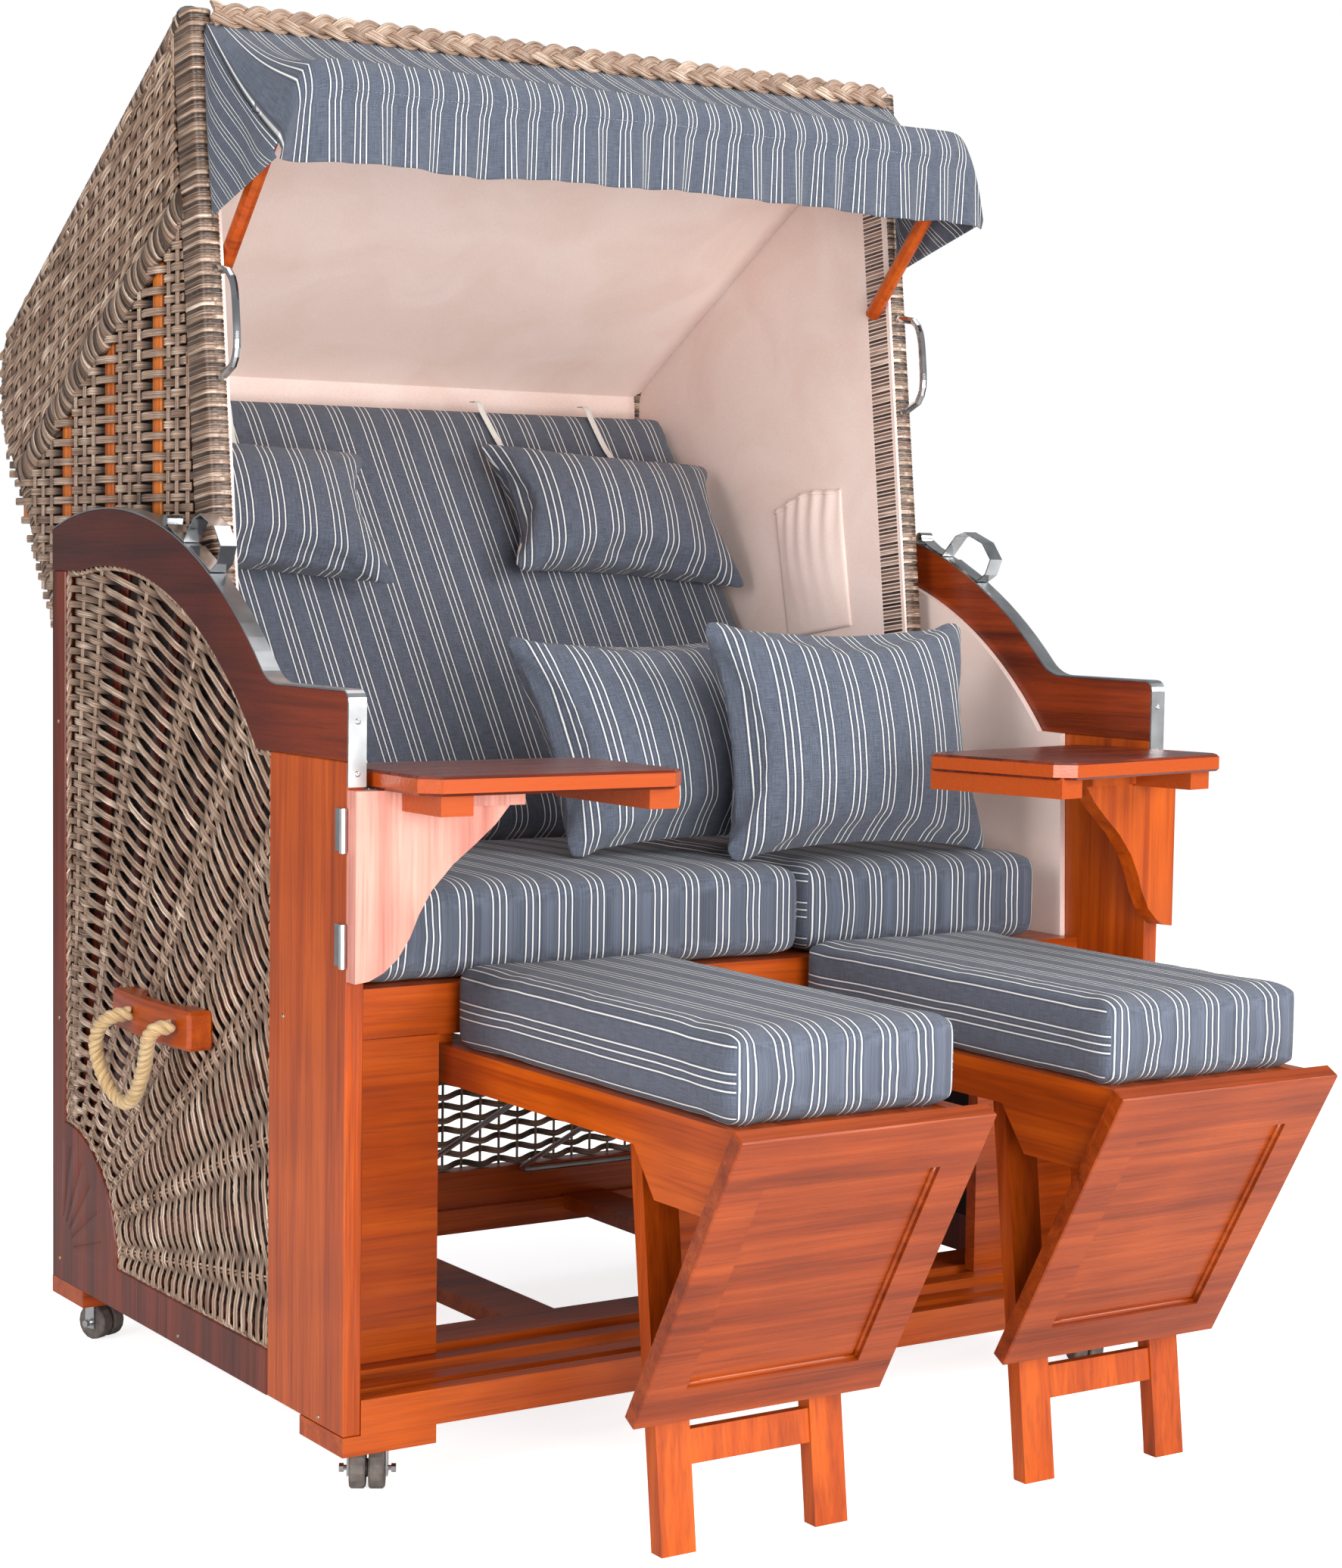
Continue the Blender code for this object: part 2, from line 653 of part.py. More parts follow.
def make_rear_frame(word, side):
    """Rear post, bottom rail and carved corner of the base wall."""
    front = POST_WIDTH + GAP
    outline = [(front, BASE_BOTTOM), (BASE_DEPTH, BASE_BOTTOM), (BASE_DEPTH, ARCH_REAR_LOW - GAP)]
    outline += [(REAR_POST_FRONT, ARCH_REAR_LOW - GAP)]
    outline += fan_edge(0)
    outline += [(front, RAIL_TOP)]
    frame = plate("frame", outline, "x", side * INNER_FACE, side * HALF_WIDTH)
    soften(frame, WOOD_EDGE)
    finish(frame, "rear_frame_" + word, WOOD)


def make_wicker_side(word, side):
    """Woven panel that fills the wall's opening, on its lining board."""
    front = POST_WIDTH + GAP
    radius = ARCH_INNER_RADIUS - GAP
    high = ARCH_REAR_LOW - GAP
    outline = [(front, RAIL_TOP + GAP), (front, POST_TOP - GAP)]
    outline += inner_arc(radius, POST_TOP - GAP, ARCH_REAR_Y)
    outline += [(REAR_POST_FRONT - GAP, high)]
    outline += fan_edge(GAP)
    weave_out = HALF_WIDTH - WEAVE_RECESS
    panel = plate("panel", outline, "x", side * (LINING_FACE + OVERLAP), side * weave_out)
    rear_top = PIVOT_Z + math.sqrt(LINING_RADIUS ** 2 - (LINING_REAR - PIVOT_Y) ** 2)
    board = [(LINING_FRONT, LINING_BOTTOM), (LINING_FRONT_TOP, POST_TOP)]
    board += inner_arc(LINING_RADIUS, POST_TOP + OVERLAP, LINING_REAR)
    board += [(LINING_REAR, min(rear_top, LINING_BOTTOM))]
    lining = plate("lining", board, "x", side * LINING_FACE, side * (INNER_FACE - GAP))
    finish(combine(panel, [lining]), "wicker_side_" + word, WICKER)


def make_steel_strip(word, side):
    """Steel strip along the top of the arm and down its front."""
    outer = arm_line(GAP + STRIP_THICKNESS)
    inner = arm_line(GAP)
    outer += [(-GAP - STRIP_THICKNESS, STRIP_BOTTOM)]
    inner += [(-GAP, STRIP_BOTTOM)]
    strip = plate("strip", outer + inner[::-1], "x", side * INNER_FACE, side * HALF_WIDTH)
    finish(strip, "steel_strip_" + word, STEEL)


def make_grip(word, side):
    """Bowed wooden carrying grip on the outside of the base, with a hollow for the fingers."""
    wall = HALF_WIDTH - WEAVE_RECESS + GAP
    rear = GRIP_FRONT + GRIP_LENGTH
    share = np.linspace(0, 1, ARC_STEPS + 1)
    along = GRIP_FRONT + share * GRIP_LENGTH
    out = wall + GRIP_END_DEPTH + GRIP_BULGE * np.sin(math.pi * share)
    outline = list(zip((side * out).tolist(), along.tolist()))
    hollow = np.linspace(rear - GRIP_FOOT, GRIP_FRONT + GRIP_FOOT, ARC_STEPS // 2 + 1)
    middle = (hollow[0] + hollow[-1]) / 2
    depth = wall + GRIP_RECESS * (1 - ((hollow - middle) / (hollow[0] - middle)) ** 4)
    outline += [(side * wall, rear)]
    outline += list(zip((side * depth).tolist(), hollow.tolist()))
    outline += [(side * wall, GRIP_FRONT)]
    low = GRIP_Z - GRIP_HEIGHT / 2
    grip = plate("grip", outline[::side], "z", low, low + GRIP_HEIGHT)
    soften(grip, GRIP_EDGE)
    finish(grip, "carry_grip_" + word, WOOD)


def make_rope(word, side):
    """Rope loop that hangs from the carrying grip, its ends square on the grip's face."""
    face = HALF_WIDTH - WEAVE_RECESS + 2 * GAP + GRIP_END_DEPTH + GRIP_BULGE
    route = [(side * across, along, up) for across, along, up in ROPE_ROUTE]
    points = flow(route, ROPE_POINTS)
    first = (side * face, route[0][1], route[0][2])
    last = (side * face, route[-1][1], route[-1][2])
    rope = tube("rope", [first] + points + [last], ROPE_DIAMETER / 2)
    smooth(rope, 80)
    finish(rope, "grip_rope_" + word, ROPE)


def make_chassis():
    """Rails, slats, runners and foot blocks under the base, glued into one frame."""
    rail = block("rail", (-CHASSIS_HALF, 0, CHASSIS_LOW),
                 (CHASSIS_HALF, FRONT_RAIL_THICKNESS, BASE_BOTTOM + FRONT_RAIL_HEIGHT))
    slat_top = BASE_BOTTOM + FRONT_RAIL_HEIGHT
    pieces = []
    for front in (FIRST_SLAT, SECOND_SLAT):
        pieces.append(block("slat", (-CHASSIS_HALF, front, slat_top - SLAT_THICKNESS),
                            (CHASSIS_HALF, front + SLAT_WIDTH, slat_top)))
    deck_rear = DECK_BOARD_FRONT + DECK_BOARD_WIDTH
    pieces.append(block("deck", (-CHASSIS_HALF, DECK_BOARD_FRONT, DECK_BOARD_TOP - SLAT_THICKNESS),
                        (CHASSIS_HALF, deck_rear, DECK_BOARD_TOP)))
    rear = REAR_RAIL_FRONT + REAR_RAIL_THICKNESS
    pieces.append(block("rear", (-CHASSIS_HALF, REAR_RAIL_FRONT, CHASSIS_LOW),
                        (CHASSIS_HALF, rear, REAR_RAIL_TOP)))
    pieces.append(block("ledge", (-CHASSIS_HALF, REAR_RAIL_FRONT - REAR_LEDGE_DEPTH, REAR_LEDGE_LOW),
                        (CHASSIS_HALF, REAR_RAIL_FRONT + OVERLAP, REAR_LEDGE_TOP)))
    for side in (-1, 1):
        pieces.append(mirrored_block("cleat", side, (CHASSIS_HALF - SLAT_THICKNESS, OVERLAP, CHASSIS_LOW),
                                     (CHASSIS_HALF - OVERLAP, deck_rear - OVERLAP,
                                      DECK_BOARD_TOP - SLAT_THICKNESS + OVERLAP)))
        pieces.append(mirrored_block("runner", side,
                                     (RUNNER_INNER, deck_rear - SLAT_THICKNESS, slat_top - SLAT_THICKNESS),
                                     (RUNNER_INNER + RUNNER_WIDTH, REAR_RAIL_FRONT + OVERLAP, slat_top)))
        for front in (0, BASE_DEPTH - BLOCK_DEPTH):
            pieces.append(mirrored_block("foot", side, (HALF_WIDTH - BLOCK_WIDTH, front, BLOCK_BOTTOM),
                                         (HALF_WIDTH, front + BLOCK_DEPTH, BLOCK_TOP)))
    finish(combine(rail, pieces), "base_chassis", WOOD)


def make_front_facia():
    """Boards under the seat with the two footrest openings, a shadow step and the apron above."""
    band = block("band", (-CHASSIS_HALF, FACIA_FRONT, FACIA_STEP_TOP),
                 (CHASSIS_HALF, FACIA_REAR, SEAT_BOARD_TOP))
    pieces = [block("step", (-CHASSIS_HALF, FACIA_FRONT + FACIA_STEP, FACIA_OPENING_TOP),
                    (CHASSIS_HALF, FACIA_REAR, FACIA_STEP_TOP + OVERLAP))]
    foot = BASE_BOTTOM + FRONT_RAIL_HEIGHT + GAP
    spans = ((-CHASSIS_HALF, -FACIA_SIDE), (-FACIA_MIDDLE, FACIA_MIDDLE), (FACIA_SIDE, CHASSIS_HALF))
    for left, right in spans:
        pieces.append(block("board", (left, FACIA_FRONT, foot),
                            (right, FACIA_REAR, FACIA_OPENING_TOP + OVERLAP)))
    finish(combine(band, pieces), "front_facia", WOOD)


def make_seat_board():
    """Seat board: full width in front of the hood's sides, narrow between them."""
    ear = LINING_FACE - GAP
    waist = HOOD_INNER - GAP - OVERLAP
    front = FACIA_REAR + GAP
    outline = [(-ear, front), (ear, front), (ear, SEAT_EAR_REAR), (waist, SEAT_EAR_REAR),
               (waist, SEAT_BOARD_REAR), (-waist, SEAT_BOARD_REAR), (-waist, SEAT_EAR_REAR),
               (-ear, SEAT_EAR_REAR)]
    board = plate("board", outline, "z", SEAT_BOARD_TOP - SEAT_BOARD_THICKNESS, SEAT_BOARD_TOP)
    finish(board, "seat_board", WOOD)


def make_rear_panel():
    """Woven panel between the rear posts."""
    front = REAR_RAIL_FRONT + (REAR_RAIL_THICKNESS - REAR_PANEL_THICKNESS) / 2
    half = LINING_FACE - GAP
    panel = block("panel", (-half, front, REAR_RAIL_TOP + GAP),
                  (half, front + REAR_PANEL_THICKNESS, REAR_PANEL_TOP))
    finish(panel, "rear_wicker_panel", WICKER)


def make_guide_rods(word, side):
    """Bent steel rod that guides a footrest: two sloping runs joined at the back."""
    reach = FOOTREST_HALF + GAP + ROD_RADIUS
    middle = side * FOOTREST_X
    top_y = FACIA_REAR + GAP + ROD_RADIUS
    bottom_y = REAR_RAIL_FRONT - GAP - ROD_RADIUS
    slope = (ROD_BOTTOM_Z - ROD_TOP_Z) / (bottom_y - top_y)
    before = bottom_y - ROD_CORNER
    before_z = ROD_BOTTOM_Z - slope * ROD_CORNER
    half_run = [(reach, top_y, ROD_TOP_Z), (reach, before, before_z)]
    corner = []
    for angle in (30, 60):
        turned = math.radians(angle)
        ahead = ROD_CORNER * math.sin(turned)
        corner.append((reach - ROD_CORNER * (1 - math.cos(turned)), before + ahead, before_z + slope * ahead))
    half_run += corner + [(reach - ROD_CORNER, bottom_y, ROD_BOTTOM_Z)]
    points = [(middle + across, along, up) for across, along, up in half_run]
    points += [(middle - across, along, up) for across, along, up in half_run[::-1]]
    rods = tube("rods", points, ROD_RADIUS)
    smooth(rods, 80)
    finish(rods, "guide_rods_" + word, STEEL)


def soft_form(name, half, edge, seam, pinch, crown_power=1.0):
    """Cushion: a cage of four cells a side, with support near its edges, crowned and drawn in."""
    mesh = bpy.data.meshes.new(name)
    shape = bmesh.new()
    bmesh.ops.create_cube(shape, size=2)
    bmesh.ops.subdivide_edges(shape, edges=shape.edges[:], cuts=3, use_grid_fill=True)
    shape.to_mesh(mesh)
    shape.free()
    places = np.empty(len(mesh.vertices) * 3)
    mesh.vertices.foreach_get("co", places)
    places = places.reshape(-1, 3)
    inner = 1 - np.asarray(edge) / np.asarray(half)
    size = np.abs(places)
    size = np.where(size < 0.5, 2 * size * inner, inner + (2 * size - 1) * (1 - inner))
    unit = np.sign(places) * size
    rise = ((1 - unit[:, 0] ** 2) * (1 - unit[:, 1] ** 2)) ** crown_power
    thick = seam + (half[2] - seam) * rise
    up = unit[:, 2] * thick
    across = unit[:, 0] * (half[0] - pinch * (1 - unit[:, 1] ** 2))
    along = unit[:, 1] * (half[1] - pinch * (1 - unit[:, 0] ** 2))
    mesh.vertices.foreach_set("co", np.stack([across, along, up], axis=1).ravel())
    item = add_object(name, mesh)
    rounding = item.modifiers.new("rounding", "SUBSURF")
    rounding.levels = 1
    rounding.render_levels = 1
    item = as_mesh(item)
    reach = [max(point.co[axis] for point in item.data.vertices) for axis in range(3)]
    item.data.transform(Matrix.Diagonal((half[0] / reach[0], half[1] / reach[1], half[2] / reach[2], 1)))
    item.data.shade_smooth()
    return item


def drop_onto(item, supports, way=(0, 0, -1)):
    """Move a mesh one way until it lies a hair off the meshes that carry it."""
    falls = []
    ahead = Vector(way)
    pairs = [(item, other, ahead) for other in supports] + [(other, item, -ahead) for other in supports]
    for upper, lower, course in pairs:
        surface = bmesh.new()
        surface.from_mesh(lower.data)
        tree = BVHTree.FromBMesh(surface)
        surface.free()
        offset = upper.location - lower.location
        for point in upper.data.vertices:
            hit = tree.ray_cast(point.co + offset, course)
            if hit[0] is not None:
                falls.append(hit[3])
    item.data.transform(Matrix.Translation(ahead * (min(falls) - GAP)))


def make_seat_cushions():
    """Two seat cushions on the seat board."""
    low = SEAT_BOARD_TOP + GAP
    spans = (("left", -SEAT_CUSHION_HALF, SEAT_CUSHION_SPLIT - GAP),
             ("right", SEAT_CUSHION_SPLIT, SEAT_CUSHION_HALF))
    depth = SEAT_CUSHION_REAR - SEAT_CUSHION_FRONT
    cushions = []
    for word, left, right in spans:
        half = ((right - left) / 2, depth / 2, SEAT_CUSHION_HEIGHT / 2)
        cushion = soft_form("cushion", half, (CUSHION_EDGE,) * 3, half[2] - CUSHION_CROWN, CUSHION_PINCH)
        middle = ((left + right) / 2, SEAT_CUSHION_FRONT + half[1], low + half[2])
        cushion.data.transform(Matrix.Translation(middle))
        cushions.append(finish(cushion, "seat_cushion_" + word, FABRIC))
    return cushions


def slope_place(along, out):
    """Point on the backrest: a distance up its front face and a distance behind it."""
    y = BACKREST_FOOT_Y + along * BACKREST_SINE + out * BACKREST_COSINE
    z = BACKREST_FOOT_Z + along * BACKREST_COSINE - out * BACKREST_SINE
    return y, z


def make_backrest():
    """Backrest cushion that lies on the hood's back wall."""
    half = (BACKREST_HALF, BACKREST_LENGTH / 2, BACKREST_THICKNESS / 2)
    cushion = soft_form("backrest", half, (CUSHION_EDGE,) * 3, half[2] - CUSHION_CROWN, CUSHION_PINCH, 0.3)
    y, z = slope_place(half[1], half[2])
    turn = Matrix.Rotation(math.radians(90 - BACKREST_ANGLE), 4, "X")
    cushion.data.transform(Matrix.Translation((0, y, z)) @ turn)
    return finish(cushion, "backrest_cushion", FABRIC, HOOD_PIVOT)


def make_neck_pillows(backrest):
    """Two neck pillows on the backrest."""
    half = (PILLOW_LENGTH / 2, PILLOW_HEIGHT / 2, PILLOW_THICKNESS / 2)
    edge = (PILLOW_LENGTH / 8, PILLOW_HEIGHT / 8, PILLOW_SEAM / 2)
    for word, side in SIDES:
        pillow = soft_form("pillow", half, edge, PILLOW_SEAM, PILLOW_PINCH, 0.5)
        y, z = slope_place(PILLOW_LEVEL, -PILLOW_THICKNESS)
        turn = Matrix.Rotation(math.radians(90 - BACKREST_ANGLE), 4, "X")
        roll = Matrix.Rotation(math.radians(-PILLOW_TILT), 4, "Z")
        pillow.data.transform(Matrix.Translation((side * PILLOW_X, y, z)) @ turn @ roll)
        drop_onto(pillow, [backrest], (0, BACKREST_COSINE, -BACKREST_SINE))
        finish(pillow, "neck_pillow_" + word, FABRIC, HOOD_PIVOT)


def make_scatter_cushions(seats):
    """Two loose cushions that stand on the seat and lean back."""
    half = (SCATTER_WIDTH / 2, SCATTER_HEIGHT / 2, SCATTER_THICKNESS / 2)
    edge = (SCATTER_WIDTH / 8, SCATTER_HEIGHT / 8, SCATTER_SEAM / 2)
    places = (("left", SCATTER_LEFT_X, SCATTER_LEFT_Y, SCATTER_LEFT_LEAN, SCATTER_LEFT_TURN),
              ("right", SCATTER_RIGHT_X, SCATTER_RIGHT_Y, SCATTER_RIGHT_LEAN, SCATTER_RIGHT_TURN))
    for word, x, y, lean, turned in places:
        cushion = soft_form("scatter", half, edge, SCATTER_SEAM, SCATTER_PINCH, 0.5)
        stand = Matrix.Rotation(math.radians(90 - lean), 4, "X")
        swing = Matrix.Rotation(math.radians(turned), 4, "Z")
        cushion.data.transform(swing @ stand)
        lowest = min(point.co.z for point in cushion.data.vertices)
        cushion.data.transform(Matrix.Translation((x, y, SEAT_TOP + SCATTER_HEIGHT - lowest)))
        drop_onto(cushion, seats)
        finish(cushion, "scatter_cushion_" + word, FABRIC)


def wheel_profile():
    """Closed outline of the twin wheels as radius and place along the axle, outside first."""
    end = WHEEL_SPACE / 2 + WHEEL_WIDTH
    inner = WHEEL_SPACE / 2
    rim = WHEEL_RADIUS
    edge = WHEEL_EDGE
    top = [(WHEEL_HUB_RADIUS, end), (rim - edge, end), (rim, end - edge), (rim, inner + edge),
           (rim - edge, inner), (WHEEL_HUB_RADIUS, inner)]
    return top + [(radius, -along) for radius, along in top[::-1]] + [(WHEEL_BORE, -end), (WHEEL_BORE, end)]


def make_wheels(word, place, turned):
    """Twin wheels of a castor on one hub."""
    mesh = bpy.data.meshes.new("wheels")
    shape = bmesh.new()
    corners = [shape.verts.new((radius, 0, along)) for radius, along in wheel_profile()]
    for first, second in zip(corners, corners[1:] + corners[:1]):
        shape.edges.new((first, second))
    shape.to_mesh(mesh)
    shape.free()
    item = add_object("wheels", mesh)
    spin = item.modifiers.new("spin", "SCREW")
    spin.steps = ROUND_SIDES
    spin.render_steps = ROUND_SIDES
    spin.merge_threshold = WELD
    spin.use_merge_vertices = True
    wheels = as_mesh(item)
    wheels.data.transform(Matrix.Rotation(math.radians(90), 4, "Y"))
    wheels.data.transform(Matrix.Translation((0, CASTOR_TRAIL, AXLE_Z)))
    wheels.data.transform(Matrix.Translation((*place, 0)) @ Matrix.Rotation(math.radians(turned), 4, "Z"))
    smooth(wheels, 30)
    swing = math.radians(turned)
    axle = (place[0] - CASTOR_TRAIL * math.sin(swing), place[1] + CASTOR_TRAIL * math.cos(swing), AXLE_Z)
    finish(wheels, "castor_wheels_" + word, WHEEL, axle)


def make_fork(word, place, turned):
    """Fork of a castor: round crown, two arms, axle with its nuts."""
    arm_in = WHEEL_SPACE / 2 + WHEEL_WIDTH + GAP + FORK_THICKNESS / 4
    arm_out = arm_in + FORK_THICKNESS
    crown_top = BLOCK_BOTTOM - GAP
    fork = peg("fork", (0, 0, FORK_CROWN_LOW), (0, 0, crown_top), FORK_CROWN_RADIUS)
    pieces = []
    beam_top = FORK_CROWN_LOW + FORK_THICKNESS
    pieces.append(block("beam", (-arm_out, CASTOR_TRAIL - FORK_ARM_HALF, FORK_CROWN_LOW - OVERLAP / 2),
                        (arm_out, CASTOR_TRAIL + FORK_ARM_HALF, beam_top)))
    for side in (-1, 1):
        pieces.append(mirrored_block("arm", side,
                                     (arm_in, CASTOR_TRAIL - FORK_ARM_HALF, AXLE_Z - FORK_ARM_HALF),
                                     (arm_out, CASTOR_TRAIL + FORK_ARM_HALF, beam_top - OVERLAP / 2)))
        pieces.append(peg("nut", (side * (AXLE_END - NUT_THICKNESS), CASTOR_TRAIL, AXLE_Z),
                          (side * AXLE_END, CASTOR_TRAIL, AXLE_Z), NUT_RADIUS, 6))
    pieces.insert(2, peg("axle", (-AXLE_END + OVERLAP, CASTOR_TRAIL, AXLE_Z),
                         (AXLE_END - OVERLAP, CASTOR_TRAIL, AXLE_Z), AXLE_RADIUS, ROUND_SIDES // 2))
    fork = combine(fork, pieces)
    fork.data.transform(Matrix.Translation((*place, 0)) @ Matrix.Rotation(math.radians(turned), 4, "Z"))
    finish(fork, "castor_fork_" + word, STEEL, (*place, 0))


def make_castors():
    """Four swivel castors under the foot blocks."""
    rear_y = BASE_DEPTH - CASTOR_Y
    corners = (("front_left", (-CASTOR_X, CASTOR_Y), CASTOR_TURN_FRONT_LEFT),
               ("front_right", (CASTOR_X, CASTOR_Y), CASTOR_TURN_FRONT_RIGHT),
               ("rear_left", (-CASTOR_X, rear_y), CASTOR_TURN_REAR_LEFT),
               ("rear_right", (CASTOR_X, rear_y), CASTOR_TURN_REAR_RIGHT))
    for word, place, turned in corners:
        make_fork(word, place, turned)
        make_wheels(word, place, turned)


def table_turn(item, side):
    """Swing the right-hand table open about its hinge, as it stands."""
    if side > 0:
        turn_about(item, (HINGE_X, 0, 0), "Z", RIGHT_TABLE_TURN)


def make_table_bracket(word, side):
    """Shaped bracket board that carries a table, with the cleat at its top."""
    outer = HALF_WIDTH
    corners = [(0, 0), (1, 0)] + BRACKET_CURVE_SHARES + [(0, 1)]
    outline = [(side * (outer - BRACKET_WIDTH * across), BRACKET_TOP - BRACKET_HEIGHT * down)
               for across, down in corners]
    bracket = plate("bracket", outline[::-side], "y", -BRACKET_THICKNESS - GAP, -GAP)
    front = -BRACKET_THICKNESS - GAP
    start = outer - CLEAT_START
    cleat = mirrored_block("cleat", side,
                           (start - CLEAT_LENGTH, front - CLEAT_DEPTH, BRACKET_TOP - CLEAT_HEIGHT),
                           (start, front + OVERLAP, BRACKET_TOP))
    bracket = combine(bracket, [cleat])
    table_turn(bracket, side)
    finish(bracket, "table_bracket_" + word, WOOD, (side * HINGE_X, 0, 0))


def make_table_top(word, side):
    """Table board with cut corners and its two battens."""
    outer = HINGE_X - TABLE_INSET
    inner = outer - TABLE_LENGTH
    front = TABLE_REAR - TABLE_DEPTH
    low = BRACKET_TOP + GAP
    corner = TABLE_CORNER
    outline = [(outer - corner, front), (outer, front + corner), (outer, TABLE_REAR - corner),
               (outer - corner, TABLE_REAR), (inner + corner, TABLE_REAR), (inner, TABLE_REAR - corner),
               (inner, front + corner), (inner + corner, front)]
    outline = [(side * across, along) for across, along in outline]
    table = plate("table", outline[::side], "z", low, low + TABLE_THICKNESS)
    soften(table, TABLE_EDGE, 60)
    table = as_mesh(table)
    bracket_front = -BRACKET_THICKNESS - GAP
    outer_batten = outer - INNER_BATTEN_START + BATTEN_WIDTH / 4
    inner_batten = outer - OUTER_BATTEN_START + BATTEN_WIDTH / 4
    battens = [mirrored_block("batten", side,
                              (outer_batten - BATTEN_WIDTH, front + BATTEN_INSET, low - BATTEN_THICKNESS),
                              (outer_batten, bracket_front - GAP - OVERLAP, low + TABLE_EDGE)),
               mirrored_block("batten", side,
                              (inner_batten - BATTEN_WIDTH, front + BATTEN_INSET, low - BATTEN_THICKNESS),
                              (inner_batten, TABLE_REAR - BATTEN_INSET, low + TABLE_EDGE))]
    table = combine(table, battens)
    table_turn(table, side)
    finish(table, "table_top_" + word, WOOD, (side * HINGE_X, 0, 0))


def make_table_hinges(word, side):
    """Two butt hinges, each with its knuckle and the leaf on the post."""
    for level, low in (("lower", HINGE_LOW_Z), ("upper", HINGE_HIGH_Z)):
        barrel = peg("barrel", (side * HINGE_X, 0, low), (side * HINGE_X, 0, low + HINGE_HEIGHT),
                     HINGE_RADIUS, ROUND_SIDES // 2)
        wall = HALF_WIDTH + GAP
        leaf = mirrored_block("leaf", side, (wall, 0, low + OVERLAP),
                              (wall + HINGE_LEAF, HINGE_LEAF_DEPTH, low + HINGE_HEIGHT - OVERLAP))
        finish(combine(barrel, [leaf]), "table_hinge_" + level + "_" + word, STEEL)


def panel_back(height):
    """Depth of the footrest panel's back face at a height."""
    angle = math.radians(PANEL_ANGLE)
    top_y = PANEL_TOP_Y + PANEL_THICKNESS * math.cos(angle)
    top_z = PANEL_TOP_Z + PANEL_THICKNESS * math.sin(angle)
    return top_y + (top_z - height) * math.tan(angle)


def make_footrest_frame(word, side):
    """Sliding frame of a footrest: two deepened side rails, cross rails and a deck."""
    middle = side * FOOTREST_X
    low = FRAME_TOP - FRAME_RAIL_HEIGHT
    deep = FRAME_TOP - FRAME_DEEP
    step = FRAME_DEEP_START + FRAME_DEEP_RUN
    ear_top = FRAME_TOP + FRAME_EAR_RISE
    outline = [(panel_back(FRAME_TOP) + GAP, FRAME_TOP), (panel_back(deep) + GAP, deep),
               (FRAME_DEEP_START, deep), (step, low), (FRAME_REAR, low), (FRAME_REAR, ear_top),
               (FRAME_REAR - FRAME_EAR, ear_top), (FRAME_REAR - FRAME_EAR, FRAME_TOP)]
    left = plate("rail", outline, "x", middle - FOOTREST_HALF, middle - FOOTREST_HALF + FRAME_RAIL_THICKNESS)
    right = plate("rail", outline, "x", middle + FOOTREST_HALF - FRAME_RAIL_THICKNESS, middle + FOOTREST_HALF)
    across = FOOTREST_HALF - FRAME_RAIL_THICKNESS + OVERLAP
    front = panel_back(FRAME_TOP) + FRAME_CROSS
    pieces = [block("cross", (middle - across, FRAME_REAR - FRAME_CROSS, low + OVERLAP),
                    (middle + across, FRAME_REAR - OVERLAP, FRAME_TOP - OVERLAP)),
              block("deck", (middle - across, front, FRAME_TOP - FRAME_DECK - OVERLAP),
                    (middle + across, FRAME_REAR - FRAME_CROSS + OVERLAP, FRAME_TOP - OVERLAP)),
              block("brace", (middle - across, panel_back(deep) + OVERLAP, deep + OVERLAP),
                    (middle + across, panel_back(deep) + FRAME_CROSS, FRAME_TOP - FRAME_DECK)),
              right]
    frame = combine(left, pieces)
    return finish(frame, "footrest_frame_" + word, WOOD, (middle, TILT_AXIS_Y, TILT_AXIS_Z))


def make_footrest_panel(word, side):
    """Framed front panel of a footrest, its field sunk on the front."""
    middle = side * FOOTREST_X
    panel = block("panel", (-PANEL_HALF, 0, -PANEL_LENGTH), (PANEL_HALF, PANEL_THICKNESS, 0))
    soften(panel, WOOD_EDGE)
    panel = as_mesh(panel)
    field = block("field", (PANEL_BORDER - PANEL_HALF, -OVERLAP, PANEL_BORDER - PANEL_LENGTH),
                  (PANEL_HALF - PANEL_BORDER, PANEL_RECESS, -PANEL_TOP_BORDER))
    panel = cut(panel, [field])
    lean = Matrix.Rotation(math.radians(PANEL_ANGLE), 4, "X")
    panel.data.transform(Matrix.Translation((middle, PANEL_TOP_Y, PANEL_TOP_Z)) @ lean)
    finish(panel, "footrest_panel_" + word, WOOD, (middle, TILT_AXIS_Y, TILT_AXIS_Z))


